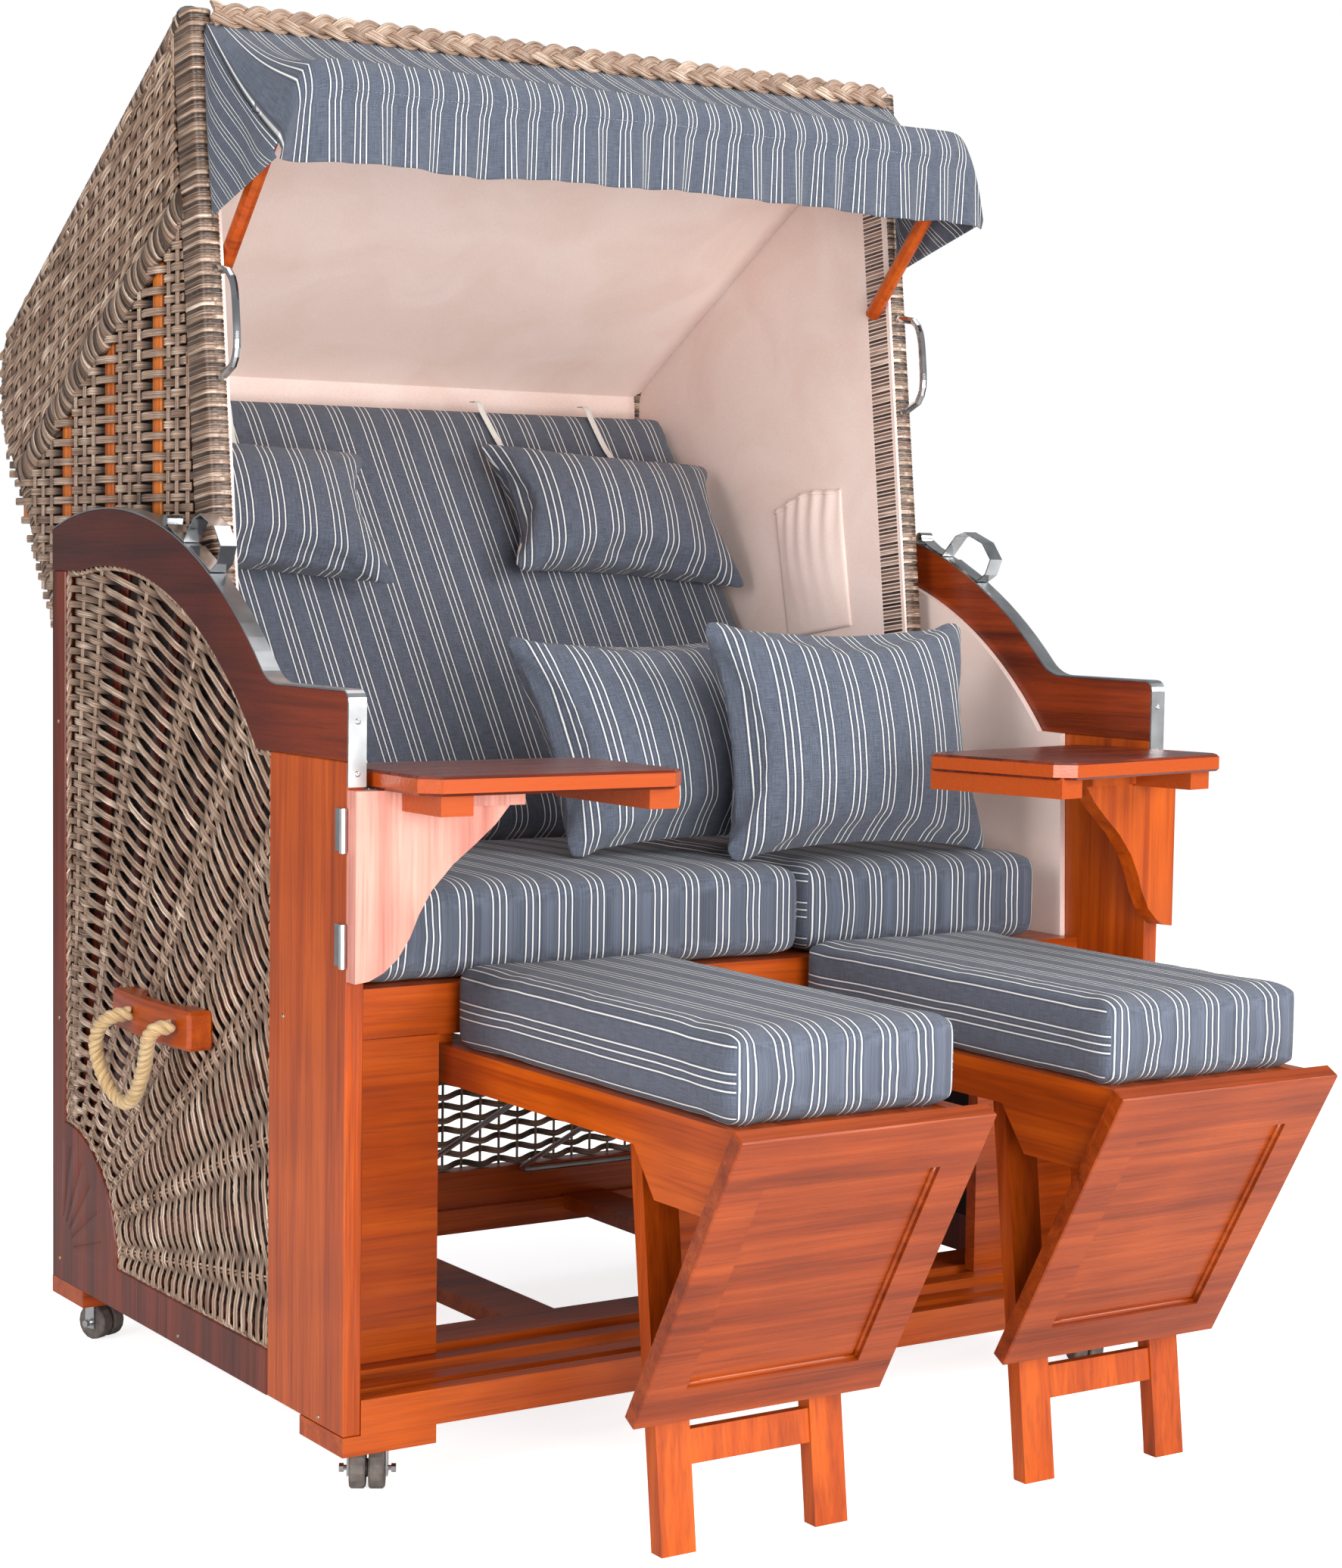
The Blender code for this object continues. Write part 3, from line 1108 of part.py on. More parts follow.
def make_footrest_legs(word, side):
    """Two legs joined by a bar, with the pins that they fold on."""
    middle = side * FOOTREST_X
    half = LEG_THICKNESS / 2
    lean = math.radians(LEG_LEAN)
    slope = math.tan(lean)
    wide = half / math.cos(lean)
    foot = LEG_PIVOT_Y - LEG_PIVOT_Z * slope
    crown = arc((LEG_PIVOT_Y, LEG_PIVOT_Z), (half, half), -LEG_LEAN, 180 - LEG_LEAN, ARC_STEPS // 2)
    outline = crown + [(foot - wide, 0), (foot + wide, 0)]
    legs = []
    for hand in (-1, 1):
        outer = middle + hand * LEG_HALF
        leg = plate("leg", outline, "x", outer - hand * LEG_WIDTH, outer)
        pin_end = middle + hand * (FOOTREST_HALF - FRAME_RAIL_THICKNESS - GAP)
        pin = peg("pin", (outer - hand * OVERLAP, LEG_PIVOT_Y, LEG_PIVOT_Z),
                  (pin_end, LEG_PIVOT_Y, LEG_PIVOT_Z), LEG_PIN_RADIUS, ROUND_SIDES // 2)
        legs.append(combine(leg, [pin]))
    bar_y = LEG_PIVOT_Y - (LEG_PIVOT_Z - LEG_BAR_Z) * slope
    reach = LEG_HALF - LEG_WIDTH + OVERLAP
    bar = block("bar", (middle - reach, bar_y - LEG_BAR_THICKNESS / 2, LEG_BAR_Z - LEG_BAR_HEIGHT / 2),
                (middle + reach, bar_y + LEG_BAR_THICKNESS / 2, LEG_BAR_Z + LEG_BAR_HEIGHT / 2))
    turn_about(bar, (middle, bar_y, LEG_BAR_Z), "X", -LEG_LEAN)
    frame = combine(legs[0], [bar, legs[1]])
    finish(frame, "footrest_legs_" + word, WOOD, (middle, LEG_PIVOT_Y, LEG_PIVOT_Z))


def make_footrest_cushion(word, side, frame):
    """Box cushion on a footrest's frame."""
    middle = side * FOOTREST_X
    depth = FOOT_CUSHION_REAR - FOOT_CUSHION_FRONT
    half = (FOOTREST_HALF, depth / 2, FOOT_CUSHION_HEIGHT / 2)
    cushion = soft_form("cushion", half, (FOOT_CUSHION_EDGE,) * 3, half[2] - CUSHION_CROWN / 2,
                        CUSHION_PINCH / 2)
    place = (middle, FOOT_CUSHION_FRONT + half[1], FRAME_TOP + FOOT_CUSHION_HEIGHT)
    cushion.data.transform(Matrix.Translation(place))
    drop_onto(cushion, [frame])
    finish(cushion, "footrest_cushion_" + word, FABRIC, (middle, TILT_AXIS_Y, TILT_AXIS_Z))


def hood_back_chain():
    """Outer line of the hood from its top front over the roof and down the back wall."""
    return [(ROOF_FRONT_Y, ROOF_FRONT_Z), (ROOF_REAR_Y, ROOF_REAR_Z), (HOOD_REAR_Y, HOOD_REAR_TOP_Z),
            (HOOD_BACK_Y, HOOD_REAR_LOW_Z), (HOOD_FOOT_Y, HOOD_FOOT_Z)]


def hood_front(height):
    """Depth of the hood's front edge at a height."""
    rise = HOOD_TOP_Z - HOOD_BROW_DROP - HOOD_FRONT_LOW_Z
    share = (height - HOOD_FRONT_LOW_Z) / rise
    return HOOD_FRONT_LOW_Y + share * (HOOD_FRONT_TOP_Y - HOOD_FRONT_LOW_Y)


def make_hood_side(word, side):
    """Woven side of the hood with its pivot stub and the latch bolt."""
    outline = [(HOOD_FRONT_LOW_Y, HOOD_FRONT_LOW_Z), (HOOD_FRONT_TOP_Y, HOOD_TOP_Z - HOOD_BROW_DROP),
               (HOOD_BROW_Y, HOOD_TOP_Z)]
    outline += hood_back_chain()
    outline += arc((PIVOT_Y, PIVOT_Z), (HOOD_BOSS_RADIUS, HOOD_BOSS_RADIUS), 0, -150, ARC_STEPS // 2)
    wall = plate("side", outline, "x", side * HOOD_INNER, side * HOOD_HALF)
    stub = peg("stub", (side * (HOOD_HALF - OVERLAP), PIVOT_Y, PIVOT_Z),
               (side * (LINING_FACE - GAP), PIVOT_Y, PIVOT_Z), PIVOT_STUB_RADIUS)
    bolt = peg("bolt", (side * (HOOD_HALF - OVERLAP), LATCH_Y, LATCH_Z),
               (side * INNER_FACE, LATCH_Y, LATCH_Z), LATCH_BOLT_RADIUS, ROUND_SIDES // 2)
    finish(combine(wall, [stub, bolt]), "hood_side_" + word, WICKER, HOOD_PIVOT)


def make_hood_back():
    """Roof, rounded rear and back wall of the hood in one bent shell, with the front rail."""
    outer = hood_back_chain()
    inner = offset_line(outer, HOOD_WALL)
    low = HOOD_TOP_Z - HOOD_RAIL_LOW
    rail = [(inner[0][0], low), (hood_front(low), low), (HOOD_FRONT_TOP_Y, HOOD_TOP_Z - HOOD_BROW_DROP),
            (HOOD_BROW_Y, HOOD_TOP_Z)]
    outline = rail + outer + inner[:0:-1] + [(inner[0][0], min(inner[0][1], low))]
    half = HOOD_INNER - GAP
    shell = plate("shell", outline, "x", -half, half)
    finish(shell, "hood_back_roof", WICKER, HOOD_PIVOT)


def make_bow_handle(word, side):
    """Bow handle on the front edge of the hood's side."""
    middle = side * (HOOD_INNER + HOOD_SIDE_THICKNESS / 2)
    top = Vector((middle, hood_front(BOW_TOP_Z), BOW_TOP_Z))
    low = Vector((middle, hood_front(BOW_LOW_Z), BOW_LOW_Z))
    up = (top - low).normalized()
    out = Vector((0, -up.z, up.y))
    points = [low + out * GAP]
    for place in np.linspace(0, 1, BOW_POINTS).tolist():
        reach = BOW_REACH * (1 - abs(2 * place - 1) ** 4) ** 0.5
        points.append(low.lerp(top, place) + out * (BOW_FOOT + reach))
    points.append(top + out * GAP)
    bow = tube("bow", points, BOW_RADIUS)
    smooth(bow, 80)
    finish(bow, "bow_handle_" + word, STEEL, HOOD_PIVOT)


def band_point(along):
    """Point of the latch band at a depth, just clear of the steel strip."""
    radius = ARCH_OUTER_RADIUS + GAP + STRIP_THICKNESS + LATCH_CLEARANCE + LATCH_THICKNESS / 2
    return along, PIVOT_Z + math.sqrt(radius ** 2 - (along - PIVOT_Y) ** 2)


def make_latch(word, side):
    """Latch lever: a barrel on the bolt and a steel band bent into a loop for the hand."""
    route = [(LATCH_Y, LATCH_Z), band_point(LATCH_Y + LATCH_HEEL / 2), band_point(LATCH_Y + LATCH_HEEL)]
    route += [(LATCH_Y + along, LATCH_Z + up) for along, up in LATCH_LOOP]
    route += [band_point(LATCH_Y + LATCH_TOE), band_point(LATCH_Y + LATCH_TAIL)]
    outer = offset_line(route, LATCH_THICKNESS / 2)
    inner = offset_line(route, -LATCH_THICKNESS / 2)
    start = INNER_FACE + GAP
    end = start + LATCH_BAND
    band = plate("band", outer + inner[::-1], "x", side * start, side * end)
    barrel = peg("barrel", (side * start, LATCH_Y, LATCH_Z), (side * end, LATCH_Y, LATCH_Z),
                 LATCH_BARREL_RADIUS)
    finish(combine(barrel, [band]), "latch_lever_" + word, STEEL, (0, LATCH_Y, LATCH_Z))


def make_canopy_frame():
    """Round canopy frame: two arms and the front bar."""
    corner = CANOPY_CORNER
    run = Vector((0, CANOPY_BAR_Y - CANOPY_HINGE_Y, CANOPY_BAR_Z - CANOPY_HINGE_Z))
    before = Vector((0, CANOPY_BAR_Y, CANOPY_BAR_Z)) - run.normalized() * corner
    half = [Vector((CANOPY_ARM_X, CANOPY_HINGE_Y, CANOPY_HINGE_Z)), before + Vector((CANOPY_ARM_X, 0, 0))]
    for angle in (30, 60, 90):
        turned = math.radians(angle)
        ahead = run.normalized() * corner * math.sin(turned)
        half.append(before + ahead + Vector((CANOPY_ARM_X - corner * (1 - math.cos(turned)), 0, 0)))
    points = [tuple(point) for point in half]
    points += [(-point.x, point.y, point.z) for point in half[::-1]]
    frame = tube("frame", points, CANOPY_TUBE_RADIUS)
    smooth(frame, 80)
    finish(frame, "canopy_frame", WOOD, CANOPY_HINGE)


def cloth_place(across, down):
    """Place on the cloth: across from -1 to 1, past it on the side flaps; down the roof, then the valance."""
    top_z = HOOD_TOP_Z - CLOTH_TOP_DROP - CLOTH_THICKNESS
    top_y = hood_front(top_z) - CLOTH_CLEARANCE
    share = min(down, 1)
    drop = max(down - 1, 0)
    flap = max(abs(across) - 1, 0)
    side = max(-1, min(1, across))
    y = top_y + share * (CLOTH_BROW_Y - top_y)
    z = top_z + share * (CLOTH_BROW_Z - top_z - CLOTH_BROW_DROP * abs(side) ** 8)
    y -= drop * CLOTH_FOLD * math.sin(side * CLOTH_FOLDS * math.pi)
    z -= drop * (CLOTH_VALANCE - CLOTH_FOLD * abs(side) ** 8)
    depth = CLOTH_SIDE_DROP + share * (CLOTH_SIDE_DROP_FRONT - CLOTH_SIDE_DROP)
    x = side * (CLOTH_HALF + CLOTH_FLARE * max(drop, share * flap))
    z -= flap * depth
    y = min(y, hood_front(z) - CLOTH_CLEARANCE)
    return x, y, z


def make_canopy_cloth():
    """Canopy cloth: roof sheet, front valance with its folds and two side flaps."""
    columns = CLOTH_COLUMNS + 2 * CLOTH_SIDE_COLUMNS
    rows = CLOTH_ROOF_ROWS + CLOTH_VALANCE_ROWS
    mesh = bpy.data.meshes.new("cloth")
    shape = bmesh.new()
    bmesh.ops.create_grid(shape, x_segments=columns, y_segments=rows, size=1)
    corners = []
    for point in shape.verts:
        column = round((point.co.x + 1) / 2 * columns) - CLOTH_SIDE_COLUMNS
        row = round((1 - point.co.y) / 2 * rows)
        if column < 0:
            across = -1 + column / CLOTH_SIDE_COLUMNS
        elif column > CLOTH_COLUMNS:
            across = 1 + (column - CLOTH_COLUMNS) / CLOTH_SIDE_COLUMNS
        else:
            across = 2 * column / CLOTH_COLUMNS - 1
        if row > CLOTH_ROOF_ROWS:
            down = 1 + (row - CLOTH_ROOF_ROWS) / CLOTH_VALANCE_ROWS
        else:
            down = row / CLOTH_ROOF_ROWS
        if row > CLOTH_ROOF_ROWS and not 0 <= column <= CLOTH_COLUMNS:
            corners.append(point)
        point.co = cloth_place(across, down)
    bmesh.ops.delete(shape, geom=corners, context="VERTS")
    bmesh.ops.recalc_face_normals(shape, faces=shape.faces)
    shape.to_mesh(mesh)
    shape.free()
    cloth = add_object("cloth", mesh)
    wall = cloth.modifiers.new("thickness", "SOLIDIFY")
    wall.thickness = CLOTH_THICKNESS
    wall.offset = 0
    cloth.data.shade_smooth()
    finish(cloth, "canopy_cloth", FABRIC, HOOD_PIVOT)


def build():
    """Make every piece of the chair."""
    for word, side in SIDES:
        make_front_post(word, side)
        make_arm_arch(word, side)
        make_rear_frame(word, side)
        make_wicker_side(word, side)
        make_steel_strip(word, side)
        make_grip(word, side)
        make_rope(word, side)
        make_guide_rods(word, side)
        make_table_bracket(word, side)
        make_table_top(word, side)
        make_table_hinges(word, side)
        make_footrest_cushion(word, side, make_footrest_frame(word, side))
        make_footrest_panel(word, side)
        make_footrest_legs(word, side)
        make_hood_side(word, side)
        make_bow_handle(word, side)
        make_latch(word, side)
    make_chassis()
    make_front_facia()
    make_seat_board()
    make_rear_panel()
    seats = make_seat_cushions()
    make_neck_pillows(make_backrest())
    make_scatter_cushions(seats)
    make_castors()
    make_hood_back()
    make_canopy_frame()
    make_canopy_cloth()


build()
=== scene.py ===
# %% [markdown]
# # Hooded beach chair
#
# A two-seat beach chair: a stained hardwood base on castors, a tilting hood of woven strands round
# wooden slats, striped cushions, a canopy, two swinging tables and two footrests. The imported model
# gives every place and size, and the cells below dress it. Y is counted from the front posts, as a
# joiner would measure the chair, and `FRONT` brings it to the model's frame.

# %% Frame
import json
import math

import bmesh
import bpy
import numpy as np
from mathutils import Matrix, Vector


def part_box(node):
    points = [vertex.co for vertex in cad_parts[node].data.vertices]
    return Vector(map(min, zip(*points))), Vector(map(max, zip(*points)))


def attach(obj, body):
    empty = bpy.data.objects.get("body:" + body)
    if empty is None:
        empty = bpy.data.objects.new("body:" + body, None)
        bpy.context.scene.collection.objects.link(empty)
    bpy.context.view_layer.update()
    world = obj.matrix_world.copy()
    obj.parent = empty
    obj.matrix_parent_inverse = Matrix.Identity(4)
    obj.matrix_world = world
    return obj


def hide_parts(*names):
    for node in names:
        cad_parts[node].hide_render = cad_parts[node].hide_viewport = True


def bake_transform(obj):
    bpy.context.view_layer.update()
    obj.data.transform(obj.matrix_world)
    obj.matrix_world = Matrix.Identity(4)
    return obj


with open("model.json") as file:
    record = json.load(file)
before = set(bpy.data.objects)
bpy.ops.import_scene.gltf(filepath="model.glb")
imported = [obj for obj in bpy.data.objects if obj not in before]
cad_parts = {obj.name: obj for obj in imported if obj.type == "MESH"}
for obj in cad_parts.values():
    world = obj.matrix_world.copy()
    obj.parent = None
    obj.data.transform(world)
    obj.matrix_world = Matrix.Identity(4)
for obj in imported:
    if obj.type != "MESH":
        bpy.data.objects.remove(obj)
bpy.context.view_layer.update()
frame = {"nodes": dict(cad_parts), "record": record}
NODES = frame["nodes"]
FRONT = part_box("front_post_left")[0].y
SIDES = (("left", -1), ("right", 1))


def placed(name, data):
    """New object in the scene."""
    item = bpy.data.objects.new(name, data)
    bpy.context.scene.collection.objects.link(item)
    return item

# %% [markdown]
# ## Camera
#
# A long lens stands to the left of the chair, a little above the seat, and looks slightly down. The
# place and the angles were fitted to the edges of the base and the hood.

# %% Camera
YAW, PITCH, ROLL = 0.5785, 0.0740, -0.0152
EYE = (-1.9580, -2.7442 + FRONT, 1.0084)
FOCAL_PIXELS, PHOTO_WIDTH, SENSOR_WIDTH = 3875.95, 1773, 36
ahead = Vector((math.sin(YAW) * math.cos(PITCH), math.cos(YAW) * math.cos(PITCH), -math.sin(PITCH)))
right = Vector((math.cos(YAW), -math.sin(YAW), 0))
down = ahead.cross(right)
across = math.cos(ROLL) * right + math.sin(ROLL) * down
below = math.cos(ROLL) * down - math.sin(ROLL) * right
camera = placed("camera", bpy.data.cameras.new("camera"))
camera.matrix_world = Matrix.Translation(EYE) @ Matrix(
    [(across[i], -below[i], -ahead[i]) for i in range(3)]).to_4x4()
camera.data.sensor_fit = "HORIZONTAL"
camera.data.sensor_width = SENSOR_WIDTH
camera.data.lens = FOCAL_PIXELS * SENSOR_WIDTH / PHOTO_WIDTH
bpy.context.scene.camera = camera

# %% [markdown]
# ## Mesh tools
#
# Shapes are whole arrays. A strip is a cross-section carried along a path, and `strand` keeps, for
# each point, its way along the strip, its way round it and a number of its own plus how far it is
# lifted over the stakes, so that a material can streak each strand by itself and paint shade on it
# where it dips under the stakes.

# %% Mesh tools
def srgb(code):
    """Linear colour of a hex code: ((c + 0.055) / 1.055) to the power 2.4, or c / 12.92 when dark."""
    share = np.array([int(code[i:i + 2], 16) for i in (1, 3, 5)]) / 255
    linear = np.where(share <= 0.04045, share / 12.92, ((share + 0.055) / 1.055) ** 2.4)
    return (*linear.tolist(), 1.0)


def lengths(points):
    """Way along a chain of points: the running sum of the distances between neighbours."""
    return np.concatenate([[0], np.cumsum(np.linalg.norm(np.diff(points, axis=0), axis=1))])


def grid_faces(index):
    """Four-sided faces of a grid of point numbers."""
    return np.stack([index[:-1, :-1], index[1:, :-1], index[1:, 1:], index[:-1, 1:]], axis=-1).reshape(-1, 4)


def beside(distance, line):
    """Flat line, given in depth and height, at a distance from the middle on the left side."""
    return np.stack([np.full(len(line), -distance), line[:, 0], line[:, 1]], axis=1)


def build(name, verts, quads, finish, body, tris=None, uv=None, strand=None):
    """Object from arrays of points, four-sided and three-sided faces; uv is one pair per face corner."""
    mesh = bpy.data.meshes.new(name)
    quads = np.asarray(quads, dtype=np.int32).reshape(-1, 4)
    tris = np.zeros((0, 3), dtype=np.int32) if tris is None else np.asarray(tris, dtype=np.int32).reshape(-1, 3)
    verts = np.asarray(verts, dtype=float) + (0, FRONT, 0)
    mesh.vertices.add(len(verts))
    mesh.vertices.foreach_set("co", verts.ravel())
    corners = np.concatenate([quads.ravel(), tris.ravel()])
    mesh.loops.add(len(corners))
    mesh.loops.foreach_set("vertex_index", corners)
    starts = np.concatenate([np.arange(len(quads)) * 4, 4 * len(quads) + np.arange(len(tris)) * 3])
    mesh.polygons.add(len(starts))
    mesh.polygons.foreach_set("loop_start", starts.astype(np.int32))
    mesh.update(calc_edges=True)
    if uv is not None:
        layer = mesh.uv_layers.new(name="cloth")
        layer.uv.foreach_set("vector", np.asarray(uv, dtype=float).ravel())
    if strand is not None:
        layer = mesh.attributes.new("strand", "FLOAT_VECTOR", "POINT")
        layer.data.foreach_set("vector", np.asarray(strand, dtype=float).ravel())
    mesh.polygons.foreach_set("use_smooth", np.full(len(starts), True))
    item = placed(name, mesh)
    mesh.materials.append(finish)
    if body:
        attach(item, body)
    return item


def unit(rows):
    """Rows of vectors, each divided by its length."""
    return rows / np.maximum(np.linalg.norm(rows, axis=-1, keepdims=True), 1e-12)


def sweep(path, normal, profile, seed=0.0, scale=None, lift=0.9):
    """Closed strip: a closed cross-section carried along a path, side = run x normal, with flat ends."""
    path = np.asarray(path, dtype=float)
    normal = np.broadcast_to(np.asarray(normal, dtype=float), path.shape)
    run = unit(np.gradient(path, axis=0))
    side = unit(np.cross(run, normal))
    out = np.cross(side, run)
    profile = np.asarray(profile, dtype=float)
    size = np.ones(len(path)) if scale is None else scale
    verts = path[:, None] + size[:, None, None] * (
        profile[None, :, :1] * side[:, None] + profile[None, :, 1:] * out[:, None])
    count, ring = len(path), len(profile)
    along = lengths(path)
    around = lengths(profile)
    seed = np.broadcast_to(np.floor(10 * seed) + lift, (len(path),))
    strand = np.stack(np.broadcast_arrays(along[:, None], around[None], seed[:, None]), axis=-1)
    index = np.arange(count * ring).reshape(count, ring)
    after = np.roll(index, -1, axis=1)
    quads = np.stack([index[:-1], after[:-1], after[1:], index[1:]], axis=-1).reshape(-1, 4)
    middle = profile.mean(axis=0)
    ends = []
    for place, sign in ((0, -1), (-1, 1)):
        ends.append(path[place] + size[place] * (middle[0] * side[place] + middle[1] * out[place]))
    verts = np.vstack([verts.reshape(-1, 3), ends])
    first, last = count * ring, count * ring + 1
    tris = np.vstack([np.stack([after[0], index[0], np.full(ring, first)], axis=1),
                      np.stack([index[-1], after[-1], np.full(ring, last)], axis=1)])
    strand = np.vstack([strand.reshape(-1, 3), [[0, 0, seed[0]], [along[-1], 0, seed[-1]]]])
    return verts, quads, tris, strand


def gather(parts):
    """Several strips as one set of arrays."""
    offsets = np.cumsum([0] + [len(part[0]) for part in parts[:-1]])
    verts = np.vstack([part[0] for part in parts])
    quads = np.vstack([part[1] + shift for part, shift in zip(parts, offsets)])
    tris = np.vstack([part[2] + shift for part, shift in zip(parts, offsets)])
    strand = np.vstack([part[3] for part in parts])
    return verts, quads, tris, strand


def mirrored(shape):
    """The same strips on the other side of the chair: x changes sign and faces turn round."""
    verts, quads, tris, strand = shape
    return verts * (-1, 1, 1), quads[:, ::-1], tris[:, ::-1], strand


def strips(name, parts, finish, body):
    """One object from strips."""
    verts, quads, tris, strand = gather(parts)
    item = build(name, verts, quads, finish, body, tris, strand=strand)
    return item


def both(name, parts, finish, body):
    """The piece on the left side of the chair and its mirror image on the right side."""
    left = strips(name + "_left", parts, finish, body)
    return left, strips(name + "_right", [mirrored(part) for part in parts], finish, body)


def round_section(radius, sides=12, flat=1.0):
    """Closed round or oval cross-section."""
    angle = -np.arange(sides) * 2 * np.pi / sides
    return np.stack([radius * np.cos(angle), flat * radius * np.sin(angle)], axis=1)


def ribbed_section(width, height, fibres):
    """Flat strand of round fibres side by side: ridges on top, flat below."""
    steps = fibres * 3 + 1
    across_share = np.linspace(0.5, -0.5, steps)
    ridge = np.abs(np.sin(np.pi * fibres * (across_share + 0.5)))
    shoulder = 1 - (2 * np.abs(across_share)) ** 6 * 0.5
    top = np.stack([width * across_share, height * (0.45 + 0.55 * ridge) * shoulder], axis=1)
    bottom = np.array([[-0.46 * width, -0.35 * height], [0.46 * width, -0.35 * height]])
    return np.vstack([top, bottom])[::-1]


def smooth_route(points, count):
    """Evenly spaced points on a Catmull-Rom curve through chosen points."""
    knots = np.asarray(points, dtype=float)
    knots = np.vstack([2 * knots[0] - knots[1], knots, 2 * knots[-1] - knots[-2]])
    share = np.linspace(0, 1, 24, endpoint=False)[None, :, None]
    first, second, third, fourth = (knots[i:len(knots) - 3 + i, None] for i in range(4))
    fine = 0.5 * (2 * second + (third - first) * share
                  + (2 * first - 5 * second + 4 * third - fourth) * share ** 2
                  + (3 * second - first - 3 * third + fourth) * share ** 3)
    fine = np.vstack([fine.reshape(-1, knots.shape[1]), knots[-2][None]])
    along = lengths(fine)
    even = np.linspace(0, along[-1], count)
    return np.stack([np.interp(even, along, fine[:, i]) for i in range(fine.shape[1])], axis=1)


def resample(points, step):
    """Points of a chain at an even step, corners kept close."""
    points = np.asarray(points, dtype=float)
    along = lengths(points)
    even = np.linspace(0, along[-1], max(int(round(along[-1] / step)), 1) + 1)
    return np.stack([np.interp(even, along, points[:, i]) for i in range(points.shape[1])], axis=1)


def crossings(outline, depth):
    """Where an upright line at a depth crosses an outline: sorted heights, in pairs."""
    start = np.asarray(outline, dtype=float)
    end = np.roll(start, -1, axis=0)
    low, high = start[:, 0] - depth, end[:, 0] - depth
    cut = low * high < 0
    share = low[cut] / (low[cut] - high[cut])
    places = np.sort(start[cut, 1] + share * (end[cut, 1] - start[cut, 1]))
    return places[:len(places) // 2 * 2].reshape(-1, 2)

# %% [markdown]
# ## Materials
#
# Each finish is built from nodes at real sizes: a glazed hardwood with long grain, a synthetic strand
# with lengthwise streaks, a striped outdoor cloth, a pale lining, ground and polished steel, jute and
# rubber.

# %% Materials
def add(tree, kind, inputs=None, **settings):
    """New node with its settings, its values and its links."""
    item = tree.nodes.new(kind)
    for key, value in settings.items():
        setattr(item, key, value)
    for key, value in (inputs or {}).items():
        if isinstance(value, bpy.types.NodeSocket):
            tree.links.new(value, item.inputs[key])
        else:
            item.inputs[key].default_value = value
    return item


def material(name, roughness, metallic=0.0, **sockets):
    """Empty finish with its own shader; returns the finish, its tree and the shader."""
    item = bpy.data.materials.new(name)
    item.use_nodes = True
    shader = item.node_tree.nodes["Principled BSDF"]
    shader.inputs["Roughness"].default_value = roughness
    shader.inputs["Metallic"].default_value = metallic
    for key, value in sockets.items():
        shader.inputs[key.replace("_", " ")].default_value = value
    return item, item.node_tree, shader


def ramp(tree, factor, stops):
    """Colour ramp from pairs of place and colour."""
    item = add(tree, "ShaderNodeValToRGB", {"Fac": factor})
    band = item.color_ramp
    while len(band.elements) < len(stops):
        band.elements.new(0.5)
    for element, (place, colour) in zip(band.elements, stops):
        element.position = place
        element.color = colour if isinstance(colour, tuple) else srgb(colour)
    return item.outputs["Color"]


def mix(tree, factor, first, second, mode="MIX"):
    """Mixed colour of two sockets or colours."""
    item = add(tree, "ShaderNodeMix", {0: factor, 6: first, 7: second}, data_type="RGBA", blend_type=mode)
    return item.outputs[2]


def maths(tree, kind, *values):
    """One arithmetic step."""
    return add(tree, "ShaderNodeMath", dict(enumerate(values)), operation=kind).outputs[0]


def times(tree, first, second):
    """Product of two numbers."""
    return maths(tree, "MULTIPLY", first, second)


def plus(tree, first, second):
    """Sum of two numbers."""
    return maths(tree, "ADD", first, second)


def minus(tree, first, second):
    """First number less the second."""
    return maths(tree, "SUBTRACT", first, second)


def noise(tree, place, scale, detail, **more):
    """Noise at a place, from 0 to 1."""
    return add(tree, "ShaderNodeTexNoise", {"Vector": place, "Scale": scale, "Detail": detail, **more}).outputs["Fac"]


def stretched(tree, place, scale):
    """Place multiplied by a scale on each axis."""
    return add(tree, "ShaderNodeMapping", {"Vector": place, "Scale": scale}).outputs["Vector"]


def split_up(tree, vector):
    """The three numbers of a vector."""
    return add(tree, "ShaderNodeSeparateXYZ", {"Vector": vector}).outputs


def object_place(tree):
    """Place in the object's own frame, in metres."""
    return add(tree, "ShaderNodeTexCoord").outputs["Object"]


def paint(tree, shader, tone):
    """Colour of the finish."""
    tree.links.new(tone, shader.inputs["Base Color"])


def bump(tree, shader, height, distance, strength=1.0):
    """Relief of a given depth in metres."""
    item = add(tree, "ShaderNodeBump", {"Height": height, "Distance": distance, "Strength": strength})
    tree.links.new(item.outputs["Normal"], shader.inputs["Normal"])


